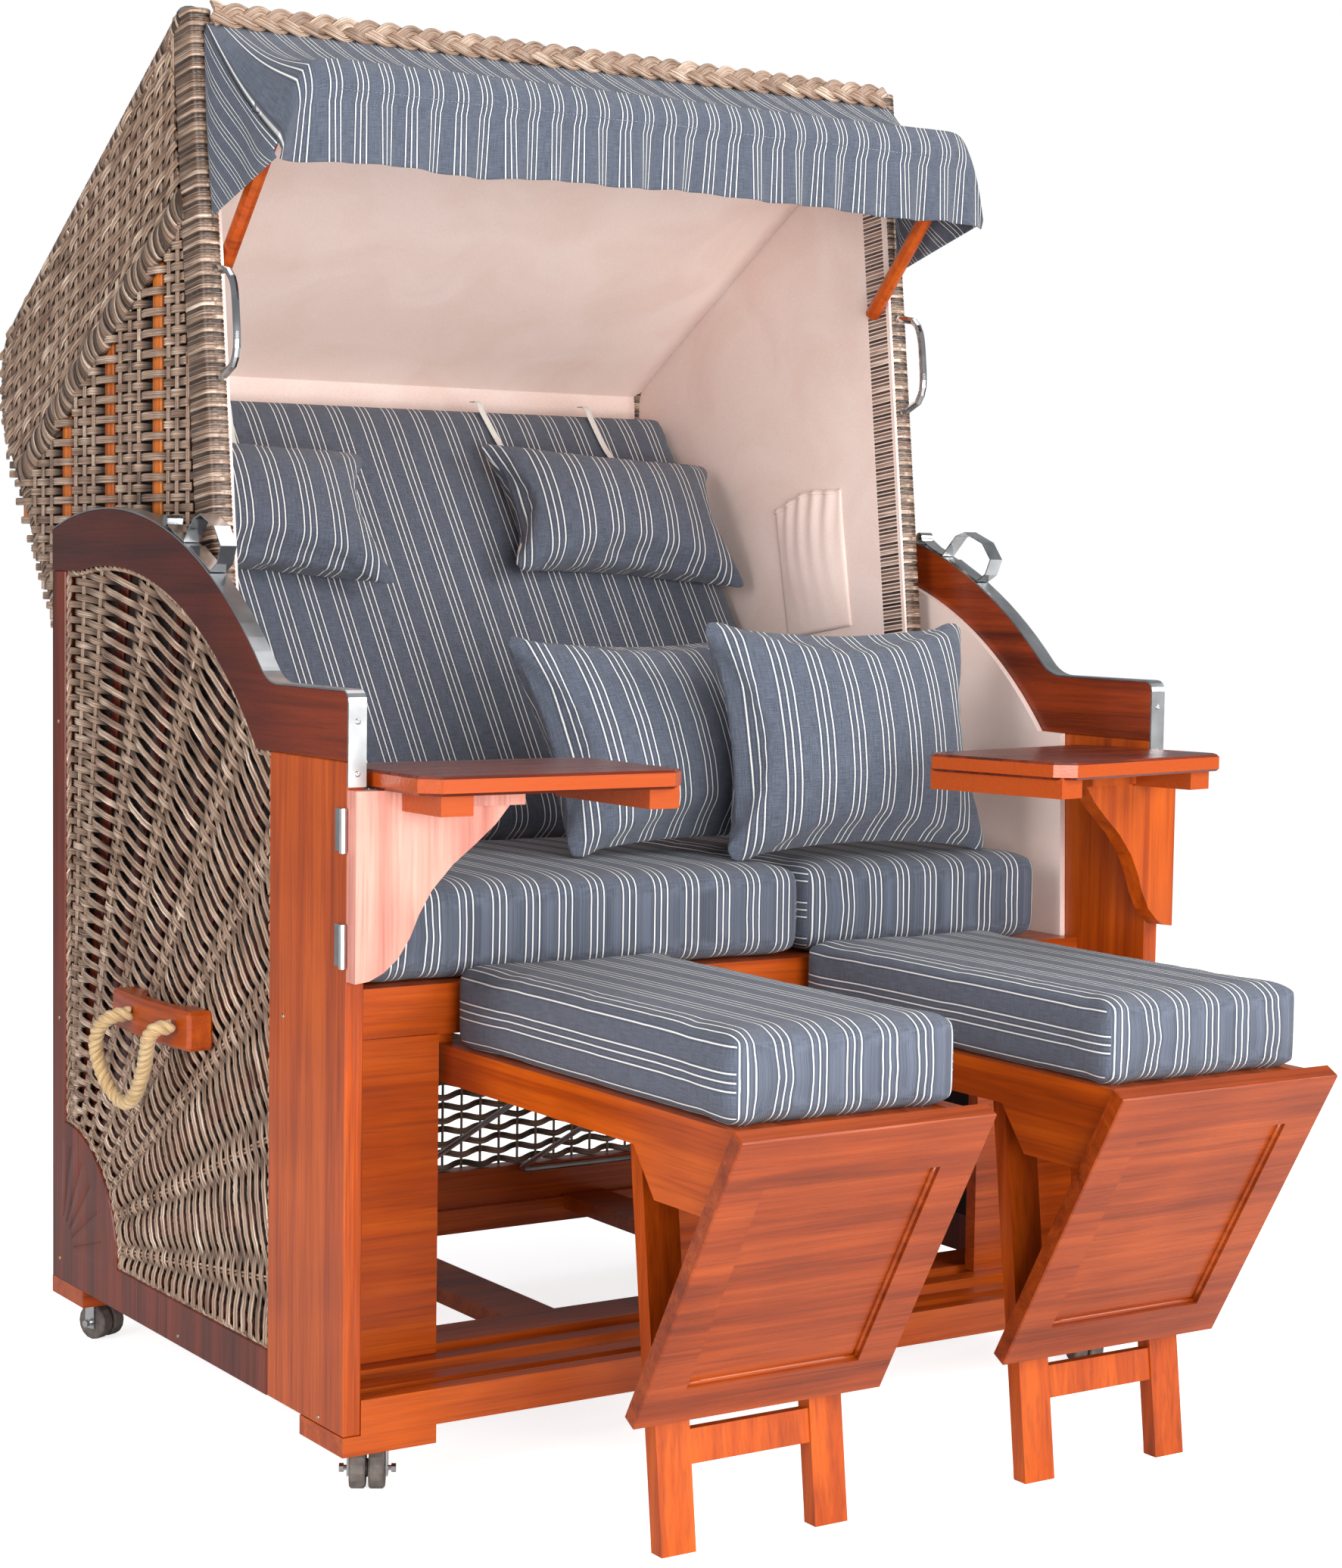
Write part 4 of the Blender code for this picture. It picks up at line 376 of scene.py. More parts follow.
def wood(name, grain, light="#c0550d", middle="#ab4508", deep="#873406", roughness=0.30, flutes=None):
    """Glazed hardwood: long streaks along one axis, fine pores, darker growth bands and faint blotches."""
    item, tree, shader = material(name, roughness, Coat_Weight=0.12, Coat_Roughness=0.12, Specular_IOR_Level=0.35)
    place = object_place(tree)
    stretch = [34.0, 34.0, 34.0]
    stretch[grain] = 1.3
    run = stretched(tree, place, stretch)
    bands = noise(tree, run, 1.0, 6.0, Roughness=0.62, Distortion=0.6)
    fine = [260.0, 260.0, 260.0]
    fine[grain] = 7.0
    pores_run = stretched(tree, place, fine)
    pores = noise(tree, pores_run, 1.0, 3.0)
    cloud = noise(tree, place, 7.0, 2.0)
    tone = ramp(tree, bands, [(0.30, deep), (0.47, middle), (0.62, light), (0.80, middle)])
    shade = ramp(tree, pores, [(0.32, "#3a1004"), (0.50, "#ffffff")])
    tone = mix(tree, 0.22, tone, shade, "MULTIPLY")
    tone = mix(tree, 0.22, tone, ramp(tree, cloud, [(0.35, "#8a3a10"), (0.65, "#ffffff")]), "MULTIPLY")
    paint(tree, shader, tone)
    height = plus(tree, times(tree, pores, 0.6), times(tree, bands, 0.4))
    if flutes:
        height = flutes(tree, place, height)
    bump(tree, shader, height, 0.0006)
    gloss = maths(tree, "MULTIPLY_ADD", pores, -0.18, roughness + 0.12)
    tree.links.new(gloss, shader.inputs["Roughness"])
    return item


RAY_CORNER = (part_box("rear_frame_left")[1].y - 0.028, 0.119)
RAY_INNER, RAY_OUTER = 0.045, 0.142
STRAND_RIB = 0.0029


def carved_fan(tree, place, height):
    """Rays cut into the rounded corner of the base: grooves every 15 degrees about the corner."""
    split = split_up(tree, place)
    run = minus(tree, RAY_CORNER[0], split["Y"])
    rise = minus(tree, split["Z"], RAY_CORNER[1])
    angle = maths(tree, "ARCTAN2", rise, run)
    reach = maths(tree, "SQRT", plus(tree, maths(tree, "POWER", run, 2.0), maths(tree, "POWER", rise, 2.0)))
    wave = maths(tree, "ABSOLUTE", maths(tree, "SINE", times(tree, angle, 12.0)))
    groove = maths(tree, "POWER", wave, 0.5)
    inside = times(tree, maths(tree, "LESS_THAN", reach, RAY_OUTER), maths(tree, "GREATER_THAN", reach, RAY_INNER))
    quarter = times(tree, maths(tree, "GREATER_THAN", angle, 0.04), maths(tree, "LESS_THAN", angle, 1.53))
    mask = times(tree, inside, quarter)
    cut = times(tree, minus(tree, groove, 1.0), mask)
    return maths(tree, "MULTIPLY_ADD", cut, 4.0, height)


def strand_finish(name, light="#f0dac6", middle="#957865", dark="#3c2a20", roughness=0.34):
    """Synthetic strand: streaks that run lengthwise, lighter and darker stretches, a soft gloss, painted shade where a
    strand dips under the stakes and painted shade in the grooves between its fibres.
    """
    item, tree, shader = material(name, roughness)
    data = add(tree, "ShaderNodeAttribute", attribute_name="strand").outputs["Vector"]
    split = split_up(tree, data)
    seed = times(tree, maths(tree, "FLOOR", split["Z"]), 17.3)
    lift = maths(tree, "FRACT", split["Z"])
    lane = add(tree, "ShaderNodeCombineXYZ", {"X": times(tree, split["X"], 9.0),
                                              "Y": times(tree, split["Y"], 620.0), "Z": seed})
    streak = noise(tree, lane.outputs[0], 1.0, 4.0, Roughness=0.7)
    wide = add(tree, "ShaderNodeCombineXYZ", {"X": times(tree, split["X"], 11.0), "Y": seed, "Z": seed})
    stretch = noise(tree, wide.outputs[0], 1.0, 2.0)
    value = plus(tree, times(tree, streak, 0.6), times(tree, stretch, 0.4))
    tone = ramp(tree, value, [(0.38, dark), (0.46, middle), (0.54, "#b59984"), (0.61, light)])
    # painted shade: the stretches of a strand that dip under the stakes are darkened by how low they lie
    tone = mix(tree, 1.0, tone, ramp(tree, lift, [(0.05, "#4a423c"), (0.42, "#a59d97"), (0.78, "#ffffff")]), "MULTIPLY")
    # painted shade in the grooves between the fibres: dark lines at the rib pitch along each strand
    rib = maths(tree, "ABSOLUTE", maths(tree, "SINE", times(tree, split["Y"], math.pi / STRAND_RIB)))
    tone = mix(tree, 1.0, tone, ramp(tree, rib, [(0.0, "#8a7a6e"), (0.45, "#ffffff")]), "MULTIPLY")
    paint(tree, shader, tone)
    bump(tree, shader, streak, 0.0003)
    return item


def cloth_finish(name, repeat):
    """Woven cloth: threads both ways, slight slubs, and three white lines with dark edges in each repeat."""
    item, tree, shader = material(name, 0.88, Sheen_Weight=0.12, Sheen_Roughness=0.5)
    uv = add(tree, "ShaderNodeUVMap", uv_map="cloth").outputs["UV"]
    split = split_up(tree, uv)
    warp, weft = (maths(tree, "SINE", times(tree, split[axis], 2600.0)) for axis in "XY")
    thread = times(tree, warp, weft)
    slub_run = stretched(tree, uv, (60.0, 900.0, 1.0))
    slub = noise(tree, slub_run, 1.0, 3.0)
    cross_run = stretched(tree, uv, (1100.0, 45.0, 1.0))
    cross = noise(tree, cross_run, 1.0, 2.0)
    fleck = plus(tree, times(tree, slub, 0.5), times(tree, cross, 0.5))
    tone = ramp(tree, fleck, [(0.36, "#3e4450"), (0.62, "#5c6373")])
    lane = maths(tree, "FRACT", maths(tree, "DIVIDE", plus(tree, split["X"], 10.0), repeat))
    clear, full = (0.0, 0.0, 0.0, 1.0), (1.0, 1.0, 1.0, 1.0)
    white, width, edge = [(0.0, clear)], 0.0006 / repeat, 0.0003 / repeat
    dark, narrow = [(0.0, clear)], 0.0008 / repeat
    for middle in (0.30, 0.50, 0.70):
        white += [(middle - width - edge, clear), (middle - width, full), (middle + width, full),
                  (middle + width + edge, clear)]
        for side in (-1, 1):
            spot = middle + side * 0.0022 / repeat
            dark += [(spot - narrow, clear), (spot, full), (spot + narrow, clear)]
    tone = mix(tree, ramp(tree, lane, dark), tone, srgb("#343a47"))
    tone = mix(tree, ramp(tree, lane, white), tone, srgb("#e9e8e4"))
    paint(tree, shader, tone)
    bump(tree, shader, plus(tree, thread, times(tree, fleck, 2.0)), 0.00025)
    return item


def lining_finish(name):
    """Pale pink-beige lining: fine plain weave with long soft creases."""
    item, tree, shader = material(name, 0.9, Sheen_Weight=0.1)
    place = object_place(tree)
    crease = noise(tree, place, 7.0, 4.0, Distortion=0.8)
    fine = noise(tree, place, 900.0, 2.0)
    tone = ramp(tree, crease, [(0.35, "#f2dad0"), (0.6, "#f8e4dc")])
    tone = mix(tree, 0.25, tone, ramp(tree, fine, [(0.4, "#d8c0b4"), (0.6, "#ffffff")]), "MULTIPLY")
    paint(tree, shader, tone)
    bump(tree, shader, maths(tree, "MULTIPLY_ADD", fine, 0.12, crease), 0.0022, 0.5)
    return item


def steel_finish(name, roughness, tint="#c9cbcd", ground=120.0):
    """Steel: fine grinding lines, faint smears in the gloss."""
    item, tree, shader = material(name, roughness, 1.0)
    place = object_place(tree)
    run = stretched(tree, place, (ground, 4.0, ground))
    line = noise(tree, run, 8.0, 3.0)
    smear = noise(tree, place, 22.0, 2.0)
    tone = ramp(tree, smear, [(0.3, "#a9abad"), (0.7, tint)])
    paint(tree, shader, tone)
    tree.links.new(maths(tree, "MULTIPLY_ADD", smear, 0.16, roughness - 0.06), shader.inputs["Roughness"])
    bump(tree, shader, line, 0.00006)
    return item


def fibre_finish(name, light, dark, roughness=0.95):
    """Natural fibre: hairs that run along the yarn."""
    item, tree, shader = material(name, roughness, Sheen_Weight=0.3)
    data = add(tree, "ShaderNodeAttribute", attribute_name="strand").outputs["Vector"]
    run = stretched(tree, data, (90.0, 900.0, 7.0))
    hair = noise(tree, run, 1.0, 5.0)
    tree.links.new(ramp(tree, hair, [(0.33, dark), (0.62, light)]), shader.inputs["Base Color"])
    bump(tree, shader, hair, 0.0008)
    return item


def plain_finish(name, light, dark, roughness, scale=60.0, depth=0.0002):
    """Moulded or painted surface: slight mottling and a fine grain."""
    item, tree, shader = material(name, roughness)
    place = object_place(tree)
    spot = noise(tree, place, scale, 4.0)
    tree.links.new(ramp(tree, spot, [(0.35, dark), (0.65, light)]), shader.inputs["Base Color"])
    tree.links.new(maths(tree, "MULTIPLY_ADD", spot, 0.2, roughness - 0.1), shader.inputs["Roughness"])
    bump(tree, shader, spot, depth)
    return item


WOOD_X = wood("glazed_hardwood_across", 0)
WOOD_Y = wood("glazed_hardwood_lengthwise", 1)
WOOD_Z = wood("glazed_hardwood_upright", 2)
# darker copy of the hardwood for the carved rear frame: painted shade
WOOD_FAN_SHADED = wood("glazed_hardwood_carved_shaded", 2, light="#7c2b0d", middle="#631f08", deep="#401104", flutes=carved_fan)
# the left arch is a darker copy of the right arch's hardwood: painted shade
WOOD_ARCH_SHADED = wood("glazed_hardwood_arch_shaded", 1, light="#8c3410", middle="#782a0b", deep="#5c1e06", roughness=0.24)
WOOD_ARM = wood("glazed_hardwood_arm", 1, light="#9c3c10", middle="#82300b", deep="#561a05", roughness=0.26)
WOOD_PANEL = wood("glazed_hardwood_panel", 0, light="#9f4411", middle="#8b3609", deep="#6c2705", roughness=0.26)
WOOD_SLAT = wood("glazed_hardwood_slat", 2, light="#ea8a34", middle="#d8701f", deep="#a84c12")
WOOD_RED = wood("red_brown_slat", 2, light="#5c1b08", middle="#451204", deep="#2a0903")


def shade_along(item, axis, start, end, first, last):
    """Painted shade that darkens along a board: the colour is multiplied by one that runs from first to last."""
    tree = item.node_tree
    shader = tree.nodes["Principled BSDF"]
    tone = shader.inputs["Base Color"].links[0].from_socket
    way = split_up(tree, object_place(tree))[axis]
    share = maths(tree, "DIVIDE", minus(tree, way, start), end - start)
    tree.links.new(mix(tree, 1.0, tone, ramp(tree, share, [(0.0, first), (1.0, last)]), "MULTIPLY"),
                   shader.inputs["Base Color"])


# painted shade: the left arch darkens towards the rear
shade_along(WOOD_ARCH_SHADED, "Y", FRONT + 0.02, FRONT + 0.36, "#ffffff", "#9a857a")


GROOVE_HALF = 0.0016


def grooved(tree, place, height, way, start, pitch):
    """Grooves between boards: a narrow cut wherever the way across the boards is a whole number of pitches."""
    split = split_up(tree, place)
    run = plus(tree, times(tree, split["X"], way[0]), times(tree, split["Y"], way[1]))
    share = maths(tree, "FRACT", maths(tree, "DIVIDE", minus(tree, run, start), pitch))
    near = maths(tree, "ABSOLUTE", minus(tree, share, 0.5))
    cut = maths(tree, "GREATER_THAN", near, 0.5 - GROOVE_HALF / pitch)
    return maths(tree, "MULTIPLY_ADD", cut, -5.0, height)


def table_finish(name, way):
    """Table wood: five boards side by side, the top painted dark and the side faces painted a lighter orange: painted
    light and shade by which way a face looks.
    """
    points = np.array([vertex.co for vertex in NODES["table_top_" + name].data.vertices])[:, :2] @ np.array(way)
    low, high = float(points.min()), float(points.max())
    pitch = (high - low) / 5
    item = wood("glazed_hardwood_table_" + name, 0, light="#7e2d11", middle="#5e1e09", deep="#3a1003",
                roughness=0.26, flutes=lambda tree, place, height: grooved(tree, place, height, way, low, pitch))
    tree = item.node_tree
    shader = tree.nodes["Principled BSDF"]
    tone = shader.inputs["Base Color"].links[0].from_socket
    # painted light and shade by facing: faces that look up keep the dark tone, side faces are painted a lighter orange
    facing = split_up(tree, add(tree, "ShaderNodeNewGeometry").outputs["True Normal"])
    edge = maths(tree, "LESS_THAN", maths(tree, "ABSOLUTE", facing["Z"]), 0.5)
    tree.links.new(mix(tree, edge, tone, srgb("#a84512")), shader.inputs["Base Color"])
    return item


WOOD_BARE = wood("pale_bracket_board", 2, light="#e3a292", middle="#d79080", deep="#bf786a", roughness=0.42)
STRAND = strand_finish("synthetic_strand")
# darker copy of the strand for the rear lattice under the seat: painted shade
STRAND_SHADED = strand_finish("synthetic_strand_shade", light="#7d6b5b", middle="#54463a", dark="#2a211b")
# near-black board behind the weave: painted shade in the gaps between the strands
GAP_SHADE_BOARD = plain_finish("gap_shade_board", "#2c1710", "#160b07", 0.7)
STRIPED = cloth_finish("striped_outdoor_cloth", 0.0440)
LINING = lining_finish("lining_cloth")
WEBBING_PLAIN = plain_finish("white_webbing", "#efeee9", "#d2cfc7", 0.85, 900.0, 0.0004)
WEBBING_THREAD = plain_finish("grey_sewing_thread", "#8b93a3", "#5a6172", 0.8)
STEEL = steel_finish("ground_steel", 0.30)
CHROME = steel_finish("polished_steel", 0.12, tint="#e2e4e6", ground=20.0)
BRASS = steel_finish("yellow_zinc_screw", 0.30, tint="#caa45a")
JUTE = fibre_finish("jute_yarn", "#d6b98a", "#a8814f")
RUBBER = plain_finish("grey_wheel_tread", "#6f6660", "#4c4541", 0.6)

# %% [markdown]
# ## Rope
#
# Each grip carries a loop of three-strand jute rope, about 19 mm thick. Both ends go into the grip's
# face, and the loop hangs behind it as it fell in the photograph.

# %% Rope
ROPE_FACE = 0.6066
YARN_RADIUS, YARN_OFFSET, ROPE_LAY = 0.0050, 0.0043, 0.034
ROPE_ROUTE = [
    (0.6110, 0.490, 0.470), (0.6230, 0.493, 0.469), (0.6320, 0.504, 0.462), (0.6360, 0.519, 0.446),
    (0.6340, 0.528, 0.424), (0.6280, 0.528, 0.400), (0.6210, 0.517, 0.378), (0.6150, 0.500, 0.366),
    (0.6130, 0.480, 0.366), (0.6140, 0.457, 0.379), (0.6170, 0.434, 0.400), (0.6210, 0.412, 0.424),
    (0.6260, 0.394, 0.445), (0.6290, 0.380, 0.461), (0.6230, 0.372, 0.470), (0.6110, 0.370, 0.471)]


def twisted(path, strands, radius, offset, pitch, sides=8, normal=(0.0, 0.0, 1.0)):
    """Strands laid round a path: offset x (cos a, sin a) with a = 2 pi (along / pitch + strand share)."""
    path = np.asarray(path, dtype=float)
    run = unit(np.gradient(path, axis=0))
    start = unit(np.cross(run, np.broadcast_to(np.asarray(normal, dtype=float), run.shape)))
    other = np.cross(run, start)
    along = lengths(path)
    parts = []
    for number in range(strands):
        angle = 2 * np.pi * (along / pitch + number / strands)
        out = np.cos(angle)[:, None] * start + np.sin(angle)[:, None] * other
        parts.append(sweep(path + offset * out, out, round_section(radius, sides), seed=float(number)))
    return parts


for word, side in SIDES:
    route = [(side * x, y, z) for x, y, z in ROPE_ROUTE]
    line = smooth_route(route, 24)
    line = np.vstack([[side * ROPE_FACE, *route[0][1:]], line, [side * ROPE_FACE, *route[-1][1:]]])
    fine = resample(smooth_route(line, 120), 0.0022)
    yarns = twisted(fine, 3, YARN_RADIUS, YARN_OFFSET, ROPE_LAY)
    rope = strips("rope_loop_" + word, yarns, JUTE, "base")
    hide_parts("grip_rope_" + word)

# %% [markdown]
# ## Weave
#
# The strands are flat and ribbed, about 9 mm wide. Each row goes over one stake and under the next, and
# the row beside it does the opposite. In the base the stakes fan out from the carved rear corner and the
# rows are arcs about it. In the hood the rows are level below the wrapped diagonal and lie along the
# roof's slope above it.

# %% Weave
SECTION = ribbed_section(0.0088, 0.0024, 3)
THIN_OVER, THIN_UNDER = 0.0026, -0.0024
SLAT_OVER, SLAT_UNDER = 0.0040, -0.0105


def inside(across, up, outline):
    """Even-odd test of many points against an outline."""
    start = np.asarray(outline, dtype=float)
    end = np.roll(start, -1, axis=0)
    x, y = across[..., None], up[..., None]
    span = (start[:, 1] > y) != (end[:, 1] > y)
    rise = np.where(end[:, 1] == start[:, 1], 1.0, end[:, 1] - start[:, 1])
    cross = x < (end[:, 0] - start[:, 0]) * (y - start[:, 1]) / rise + start[:, 0]
    return (span & cross).sum(axis=-1) % 2 == 1


def weave_heights(along, stakes, rows):
    """Height of each row over the stakes: eased steps between over and under, opposite in the next row."""
    places, heights = [], []
    for number, (place, slat, half) in enumerate(stakes):
        over, under = (SLAT_OVER, SLAT_UNDER) if slat else (THIN_OVER, THIN_UNDER)
        even = over if number % 2 == 0 else under
        odd = under if number % 2 == 0 else over
        for spot in ((place - half, place + half) if slat else (place,)):
            places.append(spot)
            heights.append((even, odd))
    places, heights = np.array(places), np.array(heights)
    spot = np.clip(np.searchsorted(places, along) - 1, 0, len(places) - 2)
    share = np.clip((along - places[spot]) / (places[spot + 1] - places[spot]), 0, 1)
    ease = 0.5 - 0.5 * np.cos(np.pi * share)
    profile = heights[spot] + ease[:, None] * (heights[spot + 1] - heights[spot])
    return np.stack([profile[:, row % 2] for row in range(rows)])


def runs(mask, least=4):
    """Stretches of a row that lie inside, as pairs of first and last place."""
    edges = np.flatnonzero(np.diff(np.concatenate([[0], mask.astype(int), [0]])))
    return [(a, b) for a, b in edges.reshape(-1, 2) if b - a >= least]


def woven(across, up, heights, keep, place, section=SECTION, jitter=0.0007):
    """Strips of all the rows, from their two flat coordinates, heights and the map to the chair."""
    chance = np.random.default_rng(5)
    wobble = chance.normal(0, jitter, across.shape)
    parts = []
    for row in range(len(across)):
        for first, last in runs(keep[row]):
            cut = slice(first, last)
            path, normal = place(across[row, cut], up[row, cut], heights[row, cut] + wobble[row, cut] * 0.3)
            # how far the row is lifted; the strand finish darkens the low stretches as painted shade
            lift = 0.05 + 0.9 * np.clip((heights[row, cut] + 0.0060) / 0.0100, 0, 1)
            parts.append(sweep(path, normal, section, seed=row + 3 * first, lift=lift))
    return parts


def on_side(face):
    """Map from depth, height and relief to the left side at a distance from the middle."""
    def place(y, z, out):
        path = np.stack([-(face + out), y, z], axis=1)
        return path, np.array([-1.0, 0.0, 0.0])
    return place


def plate(name, outline, near, far, finish, body, side):
    """Flat board between two distances from the middle, its outline given in depth and height."""
    shape = bmesh.new()
    front, back = ([shape.verts.new((side * x, y + FRONT, z)) for y, z in outline] for x in (far, near))
    shape.faces.new(front)
    shape.faces.new(back[::-1])
    for here, after in zip(range(-1, len(outline) - 1), range(len(outline))):
        shape.faces.new((front[here], front[after], back[after], back[here]))
    bmesh.ops.recalc_face_normals(shape, faces=shape.faces)
    bmesh.ops.triangulate(shape, faces=shape.faces)
    mesh = bpy.data.meshes.new(name)
    shape.to_mesh(mesh)
    shape.free()
    item = placed(name, mesh)
    mesh.materials.append(finish)
    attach(item, body)


def arc_points(centre, radius, first, last, count):
    """Points on a circle or an ellipse between two angles in degrees."""
    angle = np.radians(np.linspace(first, last, count))
    radius = np.broadcast_to(radius, (2,))
    return np.stack([centre[0] + radius[0] * np.cos(angle), centre[1] + radius[1] * np.sin(angle)], axis=1)


PIVOT = (0.655, 0.430)
CORNER = (0.790, 0.131)
PANEL = np.vstack([
    [(0.1875, 0.1315), (0.1875, 0.7995)], arc_points(PIVOT, 0.5687, 139.5, 81.0, 40), [(0.7895, 0.9915)],
    arc_points(CORNER, (0.1705, 0.1565), 90, 180, 24)])

# %% [markdown]
# ### Sides of the base
#
# Dark red slats and pairs of thin stakes fan out from the carved corner. A two-strand twist hides the
# ends of the rows all round, and a pale cloth lines the inner face.

# %% Sides of the base
FAN = [(3.2, 0), (7.0, 0), (11.0, 1), (16.4, 0), (21.9, 1), (26.7, 0), (31.6, 1), (36.8, 0), (41.8, 1), (46.4, 0),
       (51.0, 1), (55.6, 0), (61.2, 1), (68.3, 0), (75.4, 1), (82.6, 0), (89.0, 1)]
FACE = 0.5630
BACK = 0.5545
turns = np.linspace(-8.0, 91.0, 300)
BASE_PITCH = 0.0098
reach = np.arange(0.162, 0.905, BASE_PITCH)
fan_stakes = [(-7.0, 0, 0), (-2.0, 1, 0.6)] + [(angle, slat, 1.15 if slat else 0) for angle, slat in FAN]
heights = weave_heights(turns, fan_stakes, len(reach))
spread = np.radians(turns)[None, :]
depth = CORNER[0] - reach[:, None] * np.sin(spread)
level = CORNER[1] + reach[:, None] * np.cos(spread)
rows = woven(depth, level, heights, inside(depth, level, PANEL), on_side(FACE))
both_sides = both("base_weave", rows, STRAND, "base")
for item, word in zip(both_sides, ("left", "right")):
    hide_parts("wicker_side_" + word)

OUT_LEFT = (-1, 0, 0)
SLAT = np.array([(-1, -0.0026), (-1, 0.0018), (-0.85, 0.0026), (0.85, 0.0026), (1, 0.0018), (1, -0.0026)])
SLAT = SLAT * (0.012, 1)
thin, broad = [], []
for angle, slat in FAN:
    way = np.array([-math.sin(math.radians(angle)), math.cos(math.radians(angle))])
    line = np.array(CORNER) + np.linspace(0.14, 0.90, 180)[:, None] * way
    keep = inside(line[:, 0], line[:, 1], PANEL)
    for first, last in runs(keep):
        run = line[first:last]
        if slat:
            broad.append(sweep(beside(FACE - 0.0062, run), OUT_LEFT, SLAT, seed=angle))
        else:
            side = np.array([way[1], -way[0]]) * 0.0021
            for shift in (-1, 1):
                thin.append(sweep(beside(FACE, run + shift * side), OUT_LEFT, round_section(0.0018, 6),
                                  seed=angle + shift))
both("base_stakes", thin, STRAND, "base")
both("base_slats", broad, WOOD_RED, "base")

border = PANEL + 0.0022 * np.sign(np.array([0.45, 0.5]) - PANEL)
ring = resample(np.vstack([border, border[:1]]), 0.003)
twist = twisted(beside(FACE + 0.0022, ring), 2, 0.0023, 0.0019, 0.030, 6, normal=OUT_LEFT)
both("base_border", twist, STRAND, "base")
LINING_BOARD = np.vstack([[(0.145, 0.360), (0.160, 0.800)], arc_points(PIVOT, 0.583, 140.5, 73.55, 40),
                          [(0.820, 0.360)]])
for word, side in SIDES:
    # near-black board behind the weave: painted shade in the gaps
    plate("base_gap_shade_" + word, PANEL, 0.5490, BACK, GAP_SHADE_BOARD, "base", side)
    plate("base_lining_" + word, LINING_BOARD, 0.5400, 0.5480, LINING, "base", side)

# %% [markdown]
# ### Sides of the hood
#
# A flat band, wrapped in rings, closes the front edge, and thick wrapped rolls follow the roof and the
# rear. A wrapped bundle runs down each side parallel to the roof. Below it orange slats show between the
# level rows; above it the rows slope with the roof.

# %% Sides of the hood
def soft_chain(points, step, reach):
    """A chain of straight runs with its corners rounded by a running mean."""
    fine = resample(points, step)
    width = int(reach / step)
    padded = np.vstack([2 * fine[0] - fine[width:0:-1], fine, 2 * fine[-1] - fine[-2:-width - 2:-1]])
    kernel = np.ones(2 * width + 1) / (2 * width + 1)
    return np.stack([np.convolve(padded[:, i], kernel, "valid") for i in range(fine.shape[1])], axis=1)


def wrapped(path, normal, section, pitch, groove=0.0009, seed=0.0):
    """Roll wound with strands: rings along a path, each one a ridge, with streaks that run round it."""
    fine = resample(path, pitch / 5)
    section = np.asarray(section, dtype=float)
    count = len(fine)
    along = np.arange(count) / 5.0
    size = 1 + groove / np.abs(section).max() * (np.abs(np.sin(np.pi * along)) ** 0.6 - 1)
    verts, quads, tris, strand = sweep(fine, normal, section, seed, scale=size)
    ring = len(section)
    around = lengths(section)
    number = np.floor(along)
    share = (along - number) * pitch
    grid = np.stack(np.broadcast_arrays(around[None] + number[:, None] * 0.31, share[:, None],
                                        number[:, None] * 0.7 + seed), axis=-1).reshape(-1, 3)
    strand[:count * ring] = grid
    return verts, quads, tris, strand


def flat_section(width, height, corner, steps=4):
    """Rounded rectangle, clockwise."""
    corners = []
    for x, y, first in ((1, 1, 0), (-1, 1, 90), (-1, -1, 180), (1, -1, 270)):
        angle = np.radians(np.linspace(first, first + 90, steps))
        corners.append(np.stack([x * (width / 2 - corner) + corner * np.cos(angle),
                                 y * (height / 2 - corner) + corner * np.sin(angle)], axis=1))
    return np.vstack(corners)[::-1]


EDGE_FOOT = (0.400, 0.690)
EDGE_RUN, EDGE_RISE = 0.114, 0.955


def hood_front(z):
    """Depth of the hood's front edge at a height: a straight line from its foot to its top."""
    return EDGE_FOOT[0] + (z - EDGE_FOOT[1]) * EDGE_RUN / EDGE_RISE


THIN_PAIR = (-0.0023, 0.0023)
THIN_SECTION = round_section(0.0019, 6)
ROOF = [(0.530, 1.665), (0.571, 1.646), (1.102, 1.330), (1.159, 1.289), (1.158, 1.200), (0.7167, 0.5904)]
HOOD_FACE = 0.5185
SLOPE = (1.330 - 1.646) / (1.102 - 0.571)
BUNDLE = np.array([(0.536, 1.430), (0.574, 1.407), (0.811, 1.275), (1.067, 1.118)])
FOOT = [(0.690, 0.560), (0.700, 0.420), (0.640, 0.390), (0.600, 0.430)]
BAND_WIDTH = 0.055
front_low = [(hood_front(0.70) + BAND_WIDTH, 0.70)]
front_high = [(hood_front(1.63) + BAND_WIDTH, 1.63)]
LOWER = np.vstack([front_low, [(hood_front(1.42) + BAND_WIDTH, 1.448)], BUNDLE[1:],
                   [(1.135, 1.160), (0.7167, 0.600)], FOOT])
UPPER = np.vstack([[(hood_front(1.45) + BAND_WIDTH, 1.455)], front_high, [(0.575, 1.635), (1.100, 1.322)],
                   [(1.145, 1.280), (1.145, 1.200), (1.120, 1.150)], BUNDLE[:0:-1]])

